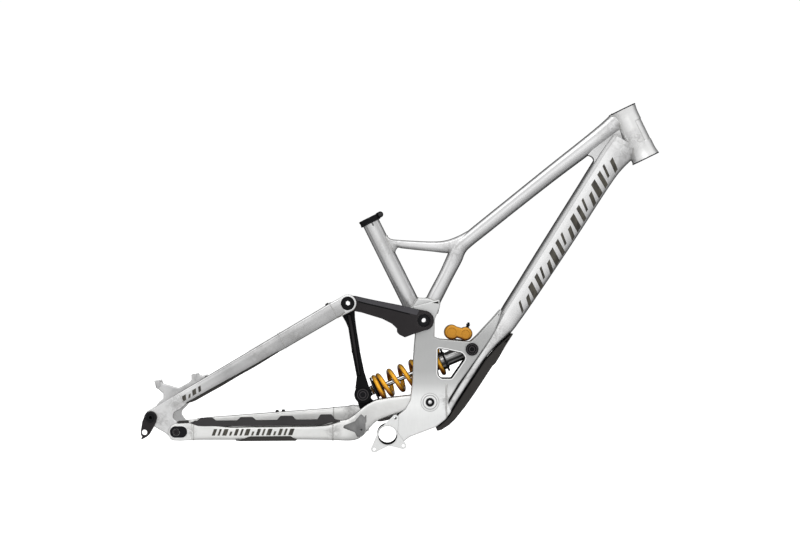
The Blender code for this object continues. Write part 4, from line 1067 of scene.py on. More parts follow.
# front shock bolt with a hex socket
fb = Shape()
for side in (-1, 1):
    fb.plate(circle(*FEYE, 12.1, 64), *span(side, 39.6, 42.0), 1.1,
             [circle(*FEYE, 8.0, 56)], 3, hole_r=0.4)
    fb.plate(circle(*FEYE, 7.5, 56), *span(side, 38.6, 42.5), 0.8, [hexagon(*FEYE, 3.6)], 3, hole_r=0.3)
    fb.plate(circle(*FEYE, 7.9, 48), *span(side, 38.6, 40.6), 0.2)
fb.turned([(-38.8, 0.01), (-38.8, 5.0), (38.8, 5.0), (38.8, 0.01)], at(FEYE), Y, 40)
fb.build("shock_mount_bolt_head", "black_part", FT, "black_anodised", "shock_mount_bolt", sharp=28)
fr = Shape()
for side in (-1, 1):
    for r0, r1 in ((4.4, 5.6), (8.6, 9.6)):
        fr.turned([(0, r0), (0.2, r0), (0.2, r1), (0, r1)], at(FEYE, side * (42.4 if r0 < 6 else 42.0)),
                  (0, side, 0), 56)
fr.build("shock_mount_bolt_rings", "black_forged", FT, "black_anodised", sharp=28)


def bearing(name, node, centre, r_in, r_out, side, y0, y1, body):
    """Cartridge bearing: steel races, with a black seal set back in each face."""
    s2 = Shape()
    a, b2 = side * y0, side * y1
    lo, hi = min(a, b2), max(a, b2)
    wd = (r_out - r_in) * 0.24
    s2.turned([(0, r_in), (0, r_in + wd), (0.4, r_in + wd), (0.4, r_out - wd), (0, r_out - wd), (0, r_out),
               (hi - lo, r_out), (hi - lo, r_out - wd), (hi - lo - 0.4, r_out - wd),
               (hi - lo - 0.4, r_in + wd), (hi - lo, r_in + wd), (hi - lo, r_in)], at(centre, lo), Y, 48)
    ob = s2.build(name, ["turned_steel", "black_part"], body, "steel", node, sharp=28)
    for p in ob.data.polygons:
        c = p.center
        rr = math.hypot(c.x / MM - OX - centre[0], c.z / MM - OZ - centre[1])
        if abs(p.normal.y) > 0.9 and r_in + wd < rr < r_out - wd:
            p.material_index = 1
    return ob


for nm, side in (("right", -1), ("left", 1)):
    bearing("main_cartridge_" + nm, "main_bearing_" + nm, MAIN, 6.3, 10.9, side, 22.2, 29.8, "chainstay")
    bearing("rocker_cartridge_" + nm, "rocker_bearing_" + nm, ROCK, 8.2, 11.9, side, 40.6, 47.8, "rocker")
    bearing("upper_cartridge_" + nm, "upper_bearing_" + nm, UPPER, 6.9, 12.1, side, 49.6, 56.2, "seatstay")
    bearing("horst_cartridge_" + nm, "horst_bearing_" + nm, HORST, 5.4, 11.0, side, 74.6, 81.4, "seatstay")
    bearing("link_cartridge_" + nm, "lower_link_bearing_" + nm, MAIN, 6.3, 9.2, side, 13.1, 19.4, "lower_link")

# ================================================================== chainstay
CS = "chainstay"
RIGHT_STAY = (
    (-386, -7.5, 22.5, 84.3, 3.8), (-372, -7.2, 24.5, 83.6, 4.6),
    (-350, -6.8, 27, 81, 6.5), (-300, -7, 18.2, 75, 8.5),
    (-250, -7, 18.4, 68, 9.5), (-175, -7.4, 18.8, 57, 10),
    (-116, -8.4, 20.6, 49, 10.5), (-92, -9.4, 28.2, 45.5, 11.5),
    (-77, -10, 31, 43, 12), (-66, -9.5, 37.2, 40, 12), (-55, -6.5, 46, 36.5, 11.5),
    (-45, 0.5, 54, 33, 10), (-35, 12.5, 60, 29.5, 8), (-22, 25, 65.8, 27, 6),
    (-8, 31, 68.5, 26, 5.2), (12, 38.0, 71.5, 26, 5.2),
    (32, 44.5, 73.8, 26, 5.2), (50, 46.4, 75.6, 26, 5.2),
    (76, 47.2, 77.5, 26, 5.2))
LEFT_STAY = (
    (-386, -7.5, 22.5, 84.3, 3.8), (-372, -7.2, 25.5, 83.6, 4.6),
    (-350, -6.0, 29, 81, 6.5), (-300, 0, 33.2, 75, 8.5),
    (-250, 6, 37.4, 68, 9.5), (-175, 12, 43.4, 57, 10),
    (-116, 10, 48.4, 49, 10.5), (-92, 0, 51, 45.5, 11.5),
    (-77, -8, 52.4, 43, 12), (-66, -9.5, 55, 40, 12), (-55, -6.5, 54, 36.5, 11.5),
    (-45, 0.5, 56, 33, 10), (-35, 12.5, 60, 29.5, 8), (-22, 25, 65.8, 27, 6),
    (-8, 31, 68.5, 26, 5.2), (12, 38.0, 71.5, 26, 5.2),
    (32, 44.5, 73.8, 26, 5.2), (50, 46.4, 75.6, 26, 5.2),
    (76, 47.2, 77.5, 26, 5.2))


def stay_rings(stations, side, n=48, per=6, p=4.2):
    rows = [(x, hi, x + 0.0001, lo, yc, hw, p) for x, lo, hi, yc, hw in stations]
    out = []
    for ux, uz, lx, lz, yc, hw, pp in smooth_rows(rows, per):
        ring = []
        for i in range(n):
            t = 2 * math.pi * (i + 0.5) / n
            ct, st = math.cos(t), math.sin(t)
            ring.append((ux, side * yc + math.copysign(abs(st) ** (2 / pp), st) * hw,
                         (uz + lz) / 2 + math.copysign(abs(ct) ** (2 / pp), ct) * (uz - lz) / 2))
        out.append(ring)
    return out


rs, ls = stay_rings(RIGHT_STAY, -1), stay_rings(LEFT_STAY, 1)
POCKET = rounded([(-62, 27, 3), (-50, 41, 3), (-38, 28, 4), (-35.5, 19, 4), (-43, 3, 4), (-57, -4.5, 4),
                  (-62, 6, 3), (-84, 14.5, 4), (-83, 19, 3)], 6)
stay = raw_object(Shape().loft(rs), ["alloy_stay", "alloy_pocket_painted_shade"])
cutter = Shape().plate(POCKET, -41.2, -70, 0.8, steps=3)
cutter.m = [1] * len(cutter.m)
stay = boolean(stay, raw_object(cutter, ["alloy_stay", "alloy_pocket_painted_shade"]))
hole = Shape().turned([(-60, 0.01), (-60, 1.7), (-34, 1.7), (-34, 0.01)], (-49.5, 0, 10.5), Y, 24)
hole.m = [1] * len(hole.m)
stay = boolean(stay, raw_object(hole, ["alloy_stay", "alloy_pocket_painted_shade"]))
stay.name = stay.data.name = "chainstay_right"
ob = dress(stay, ["alloy_stay", "alloy_pocket_painted_shade"], CS, "chainstay", sharp=32)
# painted shade: the pocket's floor and walls take the darker copy of the alloy
for p in ob.data.polygons:
    c = p.center
    x, y, z = c.x / MM - OX, c.y / MM, c.z / MM - OZ
    p.material_index = 1 if (inside((x, z), offset(POCKET, -0.15)) and y > -44.0 + 0 and y < -20
                             and (p.normal.y < -0.3 and abs(y + 41.2) < 0.6 or abs(p.normal.y) < 0.3 and y < -36)) else 0
Shape().loft(ls).build("chainstay_left", "alloy_stay", CS, "raw_alloy")
HORST_END = rounded([(-368, 24.6), (-388, 24.4, 4), (-406, 22.3, 12), (-414.5, 8, 14),
                     (-408, -7.5, 12), (-390, -8.2, 3), (-368, -7.2)], 8)
yoke = Shape().plate(rounded([(-61, 0, 3), (-35, 8, 3), (-35, 33, 3), (-44, 39, 3), (-61, 34, 3)]), -34, 34, 1.5)
for side in (-1, 1):
    yoke.turned([(0, 11.2), (0, 15.2), (1.0, 16.2), (9.4, 16.2), (10.4, 15.2), (10.4, 11.2)],
                at(MAIN, side * 20.8), (0, side, 0), 64)
yoke.build("chainstay_yoke", "alloy_stay", CS, "raw_alloy", sharp=30)
ends = Shape()
for side in (-1, 1):
    ends.plate(HORST_END, *span(side, 82.6, 89), 1.8, steps=4, r_back=0.6)
ends.build("chainstay_ends", "alloy_stay", CS, "raw_alloy", sharp=30)

# oval covers with a thin white alloy rim, a painted highlight round the cover, and a recessed bolt
for nm, side in (("right", -1), ("left", 1)):
    rim = Shape().plate(hull((-398.6, 8.4), 12.0, (-387.4, 8.4), 12.0, 28), *span(side, 88.4, 90.4), 1.0,
                        [hull((-398.6, 8.4), 10.9, (-387.4, 8.4), 10.9, 28)], hole_r=0.4)
    rim.build("horst_highlight_rim_" + nm, "alloy_lip", CS, "raw_alloy", sharp=30)
    cov = Shape().plate(hull((-398.6, 8.4), 10.6, (-387.4, 8.4), 10.6, 28), *span(side, 89.3, 92.0), 1.3,
                        [circle(*HORST, 6.6, 48)], 4, r_back=0.1, hole_r=0.8)
    cov.build("horst_cover_" + nm, "black_part", CS, "black_anodised", "horst_cap_" + nm, sharp=30)
    bo = Shape().plate(circle(*HORST, 6.2, 48), *span(side, 83.0, 91.2), 0.6, [hexagon(*HORST, 3.1)], 3,
                       r_back=0.2, hole_r=0.3)
    bo.plate(circle(*HORST, 4.6, 36), *span(side, 83.2, 89.2), 0.2)
    bo.build("horst_screw_" + nm, "black_forged", CS, "black_anodised", "horst_bolt_" + nm, sharp=30)


# guards on the drive side stay
def lerp(table, x):
    for (x0, z0), (x1, z1) in zip(table, table[1:]):
        if x <= x1:
            return z0 + (z1 - z0) * (x - x0) / (x1 - x0)
    return table[-1][1]


def ease(t):
    t = max(0.0, min(1.0, t))
    return t * t * (3 - 2 * t)


PADS = ((-351, -331, 5.6), (-276.5, -256, 6.0), (-201.5, -181, 7.2), (-126, -107, 9.2))


def rib_top(x):
    z = 29.4 + 1.2 * ease((x + 330) / 200)
    for a, b2, h in PADS:
        z = max(z, 29.4 + 1.2 * ease((x + 330) / 200) + h * min(ease((x - a + 8) / 8), ease((b2 + 9 - x) / 9)))
    return z if x < -100 else 28.6 + (z - 28.6) * max(0.0, min(1.0, (-90 - x) / 10))


BOT = [(-371, 26.6), (-366, 22.4), (-356, 18.8), (-345, 18.0), (-300, 18.6), (-175, 19.2), (-127, 19.8),
       (-116, 21.4), (-108, 24.2), (-99, 25.8), (-90, 28.0)]
Y_R = [(s2[0], s2[3]) for s2 in RIGHT_STAY]
H_R = [(s2[0], s2[4]) for s2 in RIGHT_STAY]
rings = []
xs = [-371 + 0.02, *[-370 + 1.6 * i for i in range(175)], -90.2]
for x in xs:
    lo, hi = lerp(BOT, x), max(rib_top(x), lerp(BOT, x) + 0.5)
    if x < -362:
        hi = lo + (hi - lo) * ease((x + 373) / 11)
    yc, hw = -lerp(Y_R, x), lerp(H_R, x) + 1.5
    pad = max([0.0] + [h * min(ease((x - a + 8) / 8), ease((b2 + 9 - x) / 9)) for a, b2, h in PADS])
    c, a2 = (lo + hi) / 2, (hi - lo) / 2
    ring = []
    for i in range(28):
        t = 2 * math.pi * (i + 0.5) / 28
        ct, st = math.cos(t), math.sin(t)
        yy = math.copysign(abs(st) ** (2 / 5.0), st)
        zz = math.copysign(abs(ct) ** (2 / 5.0), ct)
        ring.append((x, yc + yy * hw * (1 - 0.12 * max(0.0, zz) ** 2 * min(1.0, pad / 5)), c + zz * a2))
    rings.append(ring)
Shape().loft(rings).build("chainstay_pad", "soft_rubber", CS, "rubber", "chainstay_guard_upper", sharp=50)
rings = []
for x in [-286 + 1.5 * i for i in range(77)]:
    if x > -171.6:
        break
    hi = -7.6 + 7.9 * min(ease((x + 277) / 19), ease((-172 - x) / 12))
    lo = -8.6 - 1.1 * min(ease((x + 286) / 10), ease((-171 - x) / 4))
    yc, hw = -lerp(Y_R, x), lerp(H_R, x) + 1.5
    c, a2 = (lo + hi) / 2, max(0.3, (hi - lo) / 2)
    rings.append([(x, yc + math.copysign(abs(math.sin(t)) ** 0.4, math.sin(t)) * hw,
                   c + math.copysign(abs(math.cos(t)) ** 0.4, math.cos(t)) * a2)
                  for t in (2 * math.pi * (i + 0.5) / 24 for i in range(24))])
Shape().loft(rings).build("chainstay_lower_pad", "moulded_rubber", CS, "rubber", "chainstay_guard_lower", sharp=50)
Shape().plate(rounded([(-398, 26.2, 1), (-392, 24.6, 1), (-373, 25.2, 1), (-374.5, 30, 2), (-392, 29.4, 3)]),
              -82.7, -88.0, 0.9).build("chainstay_tab_rubber", "moulded_rubber", CS, "rubber", "chainstay_rear_tab")
Shape().plate(rounded([(-21, 25.6, 1), (-12, 29.6, 5), (10, 37.0, 10), (27, 42.6, 1), (28, 40.8, 1),
                       (10, 32.4, 10), (0, 28.0, 10), (-12, 25.6, 5)]), -31.4, -20.6, 0.6).build(
    "yoke_guard_rubber", "moulded_rubber", CS, "rubber", "yoke_guard")
for nm, x in (("hose_clip_rear", -212), ("hose_clip_front", -200)):
    z = lerp([(q[0], q[2]) for q in LEFT_STAY], x) - 0.4
    yy = lerp([(q[0], q[3]) for q in LEFT_STAY], x)
    c = Shape().plate(rounded([(x - 3.4, z, 0.4), (x - 2.8, z + 3.9, 1.6), (x + 2.6, z + 4.3, 1.6),
                               (x + 3.4, z + 0.6, 0.4)]), yy - 4.2, yy + 4.2, 1.0)
    c.build(nm + "_body", "moulded_rubber", CS, "rubber", nm)

# plain bars on the drive side and left stays
bars = Shape()
for side, rg in ((-1, rs), (1, ls)):
    tr = tree_of(rg)
    x = -331.0
    for k in range(15):
        wd = (6.0, 4.0, 8.0, 4.0)[k % 4]
        up = (13.6, 13.6, 13.6, 8.8)[k % 4]
        base = 1.2 if side < 0 else 5.0
        sl = (up - base) * 0.36
        lift = 0 if side < 0 else 9.0
        decal(bars, [((x + sl, up + lift), (x + sl + wd, up + lift), (x + wd, base + lift), (x, base + lift))],
              tr, side, nu=3, nv=6)
        x += wd + 4.8
bars.build("chainstay_bars", "dark_graphic", CS, "black_anodised", sharp=60, weighted=False, weld=False)
w = Shape()
for rg, side in ((rs, -1), (ls, 1)):
    for x0, r in ((-104, 1.1), (-366, 1.0)):
        k = min(range(len(rg)), key=lambda i: abs(rg[i][0][0] - x0))
        bead(w, [Vector(p) for p in rg[k]], r)
w.build("chainstay_welds", "weld_bead", CS, "raw_alloy", weighted=False, weld=False)

# ===================================================================== rocker
RK = "rocker"
CREASE = [(-62, 257.4), (-55.9, 254.6), (-40, 250.4), (-23.8, 246.7), (4.5, 240.1), (23.4, 235.3), (42.3, 230.6),
          (55.5, 227.6)]
ROCKER = (arc(*UPPER, 15.0, 248, 75, 26) + [(-60, 263.2), (-43, 259.3), (-24, 255.3), (-5, 251.5), (14, 247.8),
                                            (33, 244.0), (47, 240.9), (60, 238.0)]
          + arc(*ROCK, 18.8, 78, -68, 30)
          + rounded([(70, 198.6), (47, 190.8, 12), (32.8, 185.2, 3.5), (22.5, 190.2, 3),
                     (18.4, 194.4, 2), (18.0, 201.5, 3), (8, 211.2, 10), (-10, 220.4, 16), (-50, 232.6, 20),
                     (-72, 236.6)], 7))


def above(x, z):
    return z - lerp(CREASE, x)


def rocker_sink(x, z):
    h = above(x, z)
    if h <= 0 or x < -64 or x > 62:
        return 0.0
    return 3.6 * min(1.0, h / 8.0) * ease((x + 64) / 12) * ease((62 - x) / 12)


rk = Shape()
for side in (-1, 1):
    # the second crease line, 2.6 mm below the first, bounds the strip painted as crease shade
    rk.plate(ROCKER, *span(side, 39.6, 48.4), 1.5, [circle(*ROCK, 12.3, 56), circle(*UPPER, 7.2, 40)], 4,
             [(CREASE, 0.0, False), ([(x, z - 2.6) for x, z in CREASE[1:-1]], 0.0, False)], r_back=0.8, hole_r=0.8,
             sink=rocker_sink)
rk.turned([(-42, 0.01), (-42, 4.6), (-40.5, 5.6), (40.5, 5.6), (42, 4.6), (42, 0.01)], (30, 0, 196), Y, 48)
ob = rk.build("rocker_arms", ["black_forged", "black_facet_painted_light", "black_deep"], RK, "black_anodised", "rocker_link", sharp=22)
for p in ob.data.polygons:
    # painted light and shade: the upper facet takes a lighter black, and the strip just below the crease the darkest
    # black as painted crease shade
    x, y, z = p.center.x / MM - OX, p.center.y / MM, p.center.z / MM - OZ
    if abs(y) > 43.5 and -60 < x < 54 and above(x, z) > 0.3:
        p.material_index = 1
    elif abs(y) > 47.5 and -54 < x < 44 and -2.2 < above(x, z) < 0:
        p.material_index = 2
rings_r = Shape()
for side in (-1, 1):
    rings_r.turned([(0, 12.4), (0, 16.6), (1.0, 15.8), (1.5, 14.6), (1.5, 13.0), (1.1, 12.4)],
                   at(ROCK, side * 47.4), (0, side, 0), 72)
rings_r.build("rocker_boss_rings", "black_forged", RK, "black_anodised", sharp=28)
for nm, side in (("right", -1), ("left", 1)):
    pb = Shape()
    y0, y1 = span(side, 57.4, 60.6)
    pb.plate(circle(*UPPER, 9.0, 64), y0, y1, 1.0, [hexagon(*UPPER, 4.9)], 4, r_back=0.1, hole_r=0.5)
    pb.plate(circle(*UPPER, 12.1, 72), *span(side, 56.4, 58.4), 0.7, [circle(*UPPER, 9.6, 56)], 3, hole_r=0.5)
    pb.turned([(31, 4.9), (31, 6.6), (58.6, 6.6), (58.6, 9.6), (56.6, 9.6), (56.6, 4.9)] if side > 0 else
              [(-31, 4.9), (-31, 6.6), (-58.6, 6.6), (-58.6, 9.6), (-56.6, 9.6), (-56.6, 4.9)], at(UPPER), Y, 48)
    pb.build("upper_pivot_cap_" + nm, "black_part", RK, "black_anodised", "upper_pivot_bolt_" + nm, sharp=28)

# =================================================================== seatstay
SS = "seatstay"
SD, SN = (-0.8598, -0.5107), (-0.5107, 0.8598)


def sp(s3, off):
    return (SD[0] * s3 + SN[0] * off, SD[1] * s3 + SN[1] * off)


SEAT_STAY = (
    (-50, 269.6, 240.4, 55.6, 6.0), (-40, 270.4, 239.8, 56.0, 7.2), (-30, 271, 239.4, 56.2, 8.0),
    (0, 271, 239.6, 57.5, 9.0), (80, 271, 240.4, 62, 9.2), (160, 271, 242, 66.5, 9.2), (240, 271, 245.0, 71.5, 8.6),
    (280, 271, 246.0, 74.6, 7.6), (300, 271, 246.5, 76.2, 6.4), (322, 270.8, 247.2, 77.8, 4.3))
w = Shape()
ss_rings = {}
sso = Shape()
for side in (-1, 1):
    rows = [(*sp(s3, t), *sp(s3, b2), side * yc, hw, 3.3) for s3, t, b2, yc, hw in SEAT_STAY]
    ss_rings[side] = tube_rings(rows, 44, 7, ((0.62, 0.35, 0.1), (-0.6, 0.3, 0.1)))
    sso.loft(ss_rings[side])
sso.build("seatstay_tubes", "alloy_seatstay_tube", SS, "raw_alloy", "seatstay")
FRONT_END = arc(*UPPER, 16.6, 301, 481, 48) + [sp(-36, 269.8), sp(-36, 238.4)]
fe = Shape()
for side in (-1, 1):
    fe.plate(FRONT_END, *span(side, 49, 58), 2.2, [circle(*UPPER, 12.5, 64)], 4, r_back=0.8, hole_r=0.6)
fe.turned([(-56.5, 0.01), (-56.5, 6.4), (56.5, 6.4), (56.5, 0.01)], at(sp(-30, 254)), Y, 40)
fe.build("seatstay_eyes", "alloy_seatstay", SS, "raw_alloy", sharp=30)
COMMON = [(-436.5, 55.6, 4), (-452, 47.5, 8), (-459.4, 36, 10), (-453, 22, 8), (-438, 17.4, 6), (-418, 5.8, 6),
          (-409, -2, 6), (-398, -7.4, 9), (-384.5, -3, 9), (-381, 9, 8), (-385, 20, 6)]
RIGHT_DROP = rounded([sp(294, 270.8)] + COMMON + [(-395, 26.6, 4), (-404.5, 35, 6), (-402, 45, 6),
                                                   (-390, 50.6, 5), sp(294, 246.4)], 8)
LEFT_DROP = rounded([sp(294, 270.8)] + COMMON + [(-391, 27.6, 4), (-397, 36, 6), (-395, 43, 5),
                                                  (-386, 52, 5), sp(294, 246.4)], 8)
dr = Shape()
for side, o2 in ((-1, RIGHT_DROP), (1, LEFT_DROP)):
    dr.plate(o2, *span(side, 74, 82), 1.8, [circle(*HORST, 11.3, 48), circle(*AXLE, 6.5, 40)], 4, r_back=1.0,
             hole_r=0.6)
dr.build("dropouts", "alloy_seatstay", SS, "raw_alloy", sharp=30)
BRAKE = rounded([(-450, 44, 2), (-440, 59, 5), (-431.5, 66, 5), (-431.5, 75, 5), (-444, 86, 6), (-449.4, 99.4, 1),
                 (-434.2, 102.0, 1), (-432.6, 94.5, 4), (-420, 91, 6), (-402, 85.6, 8), (-384, 95.6, 5),
                 (-377.2, 101.5, 4), (-377.6, 112.0, 1), (-363.8, 114.4, 1), (-361.5, 110.6, 3), (-355, 109.8, 4),
                 (-346, 112.4, 1), (-350, 100, 3), (-420, 58, 3)], 7)
bk = Shape().plate(BRAKE, 69, 81, 2.0, steps=4, r_back=2.0)
for p, axm in (((-441.6, 101.1), (-0.1694, 0.9855)), ((-370.5, 113.55), (-0.1752, 0.9845))):
    bk.turned([(0, 3.0), (0, 6.6), (-0.7, 7.1), (-12, 7.1), (-16, 5.5), (-16, 3.0)], (p[0], 75, p[1]),
              (axm[0], 0, axm[1]), 48)
bk.build("brake_mount", "alloy_seatstay", SS, "raw_alloy", sharp=30)
rings = []
for s3 in [96 + 3.3 * i for i in range(61)]:
    th = 3.6 * min(ease((s3 - 90) / 60) * 0.5 + 0.5 * ease((s3 - 170) / 60), ease((298 - s3) / 22)) + 0.9
    bot = lerp([(q[0], q[2]) for q in SEAT_STAY], s3)
    yc = -lerp([(q[0], q[3]) for q in SEAT_STAY], s3)
    hw = lerp([(q[0], q[4]) for q in SEAT_STAY], s3) - 0.8
    c = bot + 0.6 - th / 2
    ring = []
    for i in range(24):
        t = 2 * math.pi * (i + 0.5) / 24
        o3 = c + math.copysign(abs(math.cos(t)) ** 0.5, math.cos(t)) * th / 2
        q = sp(s3, o3)
        ring.append((q[0], yc + math.copysign(abs(math.sin(t)) ** 0.5, math.sin(t)) * hw, q[1]))
    rings.append(ring)
Shape().loft(rings).build("seatstay_guard_rubber", "moulded_rubber", SS, "rubber", "seatstay_guard", sharp=50)
nub = sp(-26.5, 271.4)
Shape().plate(rounded([(nub[0] - 3.6, nub[1] - 3.4, 0.5), (nub[0] - 3.5, nub[1] + 0.6, 1.6),
                       (nub[0] + 1.4, nub[1] + 3.8, 1.6), (nub[0] + 3.6, nub[1] + 0.8, 0.5)]), 53, 60, 1.1).build(
    "hose_nub_rubber", "moulded_rubber", SS, "rubber", "hose_nub")
bars = Shape()
for side in (-1, 1):
    tr = tree_of(ss_rings[side])
    for k, (a2, wd, t0) in enumerate(((256, 5.5, 262.0), (266.5, 8.0, 262.0), (279.5, 4.5, 258.6), (288.5, 8.0, 262.0))):
        q = [sp(a2 - 2.2, t0), sp(a2 - 2.2 + wd, t0), sp(a2 + 2.2 + wd, 252.4), sp(a2 + 2.2, 252.4)]
        decal(bars, [q], tr, side, nu=3, nv=6)
bars.build("seatstay_bars", "dark_graphic", SS, "black_anodised", sharp=60, weighted=False, weld=False)
w = Shape()
for side in (-1, 1):
    rg = ss_rings[side]
    for s0, r in ((-33, 1.0), (84, 0.9), (296, 0.9)):
        k = min(range(len(rg)), key=lambda i: abs(sum(Vector((rg[i][j][0], rg[i][j][2])).dot(Vector(SD))
                                                      for j in (0, 22)) / 2 - s0))
        bead(w, [Vector(p) for p in rg[k]], r)
w.build("seatstay_welds", "weld_bead", SS, "raw_alloy", weighted=False, weld=False)

HANGER = (arc(*AXLE, 12.2, 0, 176, 30)
          + rounded([(-461.4, 28), (-463.8, 13, 8), (-464.2, 7, 5), (-463.8, 2.4, 2.5), (-461.2, -0.6, 1.2),
                     (-464.0, -4.2, 1.0), (-461.5, -5.6, 1.2), (-452.5, -0.6, 4), (-447.4, 4, 6), (-440.6, 15.7, 12),
                     (-435.4, 27)], 7))
hg = Shape().plate(HANGER, -82.35, -88.2, 1.3, [circle(-457.0, 7.6, 4.95, 48), circle(*AXLE, 7.7, 48)], 4, hole_r=0.6)
hg.turned([(0, 5.0), (0, 6.2), (0.4, 6.5), (1.0, 6.3), (1.0, 5.0)], at((-457.0, 7.6), -88.0), (0, -1, 0), 48)
hg.build("hanger_plate", "black_forged", SS, "black_anodised", "derailleur_hanger", sharp=28)
hb = Shape().turned([(0, 7.3), (-1, 9.0), (-2.0, 9.4), (-2.9, 8.9), (-3.0, 7.0), (-2.2, 6.4), (-2.2, 3.2), (4.2, 3.2),
                     (4.2, 7.3)], at(AXLE, -88.2), (0, 1, 0), 56)
hb.build("hanger_bolt_ring", "black_part", SS, "black_anodised", "hanger_bolt", sharp=28)
ra = Shape().turned([(-83.4, 3.0), (-83.4, 5.6), (-83.0, 6.0), (82.4, 6.0), (82.4, 9.2), (82.9, 9.6), (86.2, 9.6),
                     (86.8, 9.0), (86.8, 3.4), (84.2, 3.4), (84.2, 3.0)], at(AXLE), Y, 56)
ra.build("rear_axle_tube", "black_part", SS, "black_anodised", "rear_axle", sharp=28)

# ====================================================================== strut
SR = "strut"
STRUT = (arc(*UPPER, 13.2, 20, 192, 24)
         + rounded([(-88.2, 246), (-88.0, 229, 5), (-79.4, 214.4, 8), (-74.6, 203, 20), (-67.5, 157, 60),
                    (-58.6, 110, 14), (-61.2, 90)], 6)
         + arc(*SEYE, 16.4, 146, 402, 40)
         + rounded([(-35.6, 91), (-44.4, 119, 30), (-52.4, 158, 60), (-59.6, 203, 30), (-62, 222, 8), (-63, 254)], 6))
CHANNEL = [rounded([(-77, 229, 3), (-72.5, 205, 20), (-64.3, 157, 60), (-55.5, 112, 3), (-50.8, 112, 3),
                    (-57.3, 157, 60), (-64.4, 205, 20), (-69.5, 229, 3)], 6)]


sr = Shape()
for side in (-1, 1):
    sr.plate(STRUT, *span(side, 21.0, 31.2), 1.5, [circle(*UPPER, 7.1, 40), circle(*SEYE, 7.7, 48)], 4,
             [(CHANNEL[0], 0.0, True), (clean(offset(clean(CHANNEL[0]), 1.3)), 2.4, True)], r_back=1.0, hole_r=0.5)
    sr.turned([(27, 7.1), (27, 12.9), (38.4, 12.6), (39.2, 11.8), (39.2, 7.1)] if side > 0 else
              [(-27, 7.1), (-27, 12.9), (-38.4, 12.6), (-39.2, 11.8), (-39.2, 7.1)], at(UPPER), Y, 56)
sr.turned([(-28, 0.01), (-28, 5.0), (28, 5.0), (28, 0.01)], at((-63.5, 158)), Y, 36)
ob = sr.build("strut_arms", ["black_deep", "black_forged"], SR, "black_anodised", "strut", sharp=28)
for p in ob.data.polygons:
    if abs(p.normal.y) > 0.95 and abs(p.center.y / MM) < 29.4 and abs(p.center.y / MM) > 28.2:
        p.material_index = 1

# ================================================================= lower link
LK = "lower_link"
LINK = (arc(*SEYE, 12.0, 10, 195, 28)
        + rounded([(-58, 66), (-53, 49, 8), (-38, 40.5, 12), (-10, 37, 20), (30, 41, 20), (66, 52)], 6)
        + arc(*MAIN, 12.8, 236, 476, 36)
        + rounded([(66, 68), (35, 57, 16), (8, 51, 16), (-16, 54, 12), (-31, 68)], 6))
lk = Shape()
for side in (-1, 1):
    lk.plate(LINK, *span(side, 12.6, 19.9), 1.3, [circle(*MAIN, 10, 48), circle(*SEYE, 6.3, 40)], 4, r_back=0.8)
lk.turned([(-14, 0.01), (-14, 5.0), (14, 5.0), (14, 0.01)], at((-6, 44)), Y, 36)
lk.build("lower_link_arms", "black_deep", LK, "black_anodised", "lower_link", sharp=28)
lb = Shape()
lb.turned([(-32, 0.01), (-32, 5.8), (32, 5.8), (32, 0.01)], at(SEYE), Y, 40)
for side in (-1, 1):
    prof = [(31.4, 0.01), (31.4, 11.6), (33.2, 11.6), (34.2, 10.9), (34.5, 9.6), (33.9, 8.9), (33.9, 8.3), (34.6, 7.9),
            (34.6, 4.3), (33.6, 3.8), (33.6, 0.01)]
    lb.turned([(side * d, r) for d, r in prof], at(SEYE), Y, 64)
lb.build("lower_link_pin", "black_part", LK, "black_anodised", "lower_link_bolt", sharp=28)
fr = Shape()
for side in (-1, 1):
    for r0, r1, y0 in ((5.2, 6.6, 34.55), (9.4, 10.9, 34.3)):
        fr.turned([(0, r0), (0.25, r0), (0.25, r1), (0, r1)], at(SEYE, side * y0), (0, side, 0), 56)
fr.build("lower_link_pin_rings", "black_forged", LK, "black_anodised", sharp=28)

# ====================================================================== shock
SB, SF = "shock_body", "shock_shaft"


def rect_block(t0, t1, r, yh, edge=1.6):
    pts = [along(t0, r), along(t1, r), along(t1, -r), along(t0, -r)]
    return rounded([(p[0], p[2], 2.0) for p in pts], 5), -yh, yh, edge


eye = Shape()
eye.turned([(-11.8, 6.3), (-11.8, 9.6), (-11.0, 10.5), (11.0, 10.5), (11.8, 9.6), (11.8, 6.3)], at(SEYE), Y, 56)
o2, y0, y1, e = rect_block(8, 17.6, 9.0, 9.5)
eye.plate(o2, y0, y1, 1.6)
eye.build("shock_rear_block", "black_part", SF, "black_anodised", "shock_rear_eye", sharp=30)
knob = Shape()
prof = [(0, 6.4), (0, 8.8), (0.5, 9.2), (3.5, 9.2), (4.0, 8.8), (4.0, 6.4)]
n6 = 72
knob_rings = []
w3 = Vector(AX)
t3 = w3.cross(Vector(Y))
for d3, r3 in prof:
    knob_rings.append([tuple(Vector(along(18.0)) + w3 * d3 + (Vector(Y) * math.cos(2 * math.pi * i / n6)
                                                             + t3 * math.sin(2 * math.pi * i / n6))
                             * (r3 - (0.5 if r3 > 7 and i % 6 in (0, 1) else 0.0))) for i in range(n6)])
knob.loft(knob_rings, loop=True)
knob.build("rebound_dial", "bronze_skin", "rebound_knob", "gold_anodised", "rebound_knob", sharp=25)
Shape().turned([(12, 0.01), (12, 2.5), (19.5, 2.5), (19.5, 4.75), (121, 4.75), (121, 10.6), (128, 10.6), (128, 0.01)],
               along(0), AX, 56).build("shock_rod", "polished_shaft", SF, "chrome_shaft", "shock_shaft", sharp=30)
Shape().turned([(22.4, 5.1), (22.4, 14.6), (22.8, 15.6), (22.8, 23.6), (23.3, 24.2), (25.8, 24.2), (26.2, 23.8),
                (26.2, 17.6), (26.6, 17.0), (30.6, 16.8), (31, 16.4), (31, 5.1)], along(0), AX, 72).build(
    "spring_perch_lower", "black_part", SF, "black_anodised", "spring_seat_lower", sharp=30)
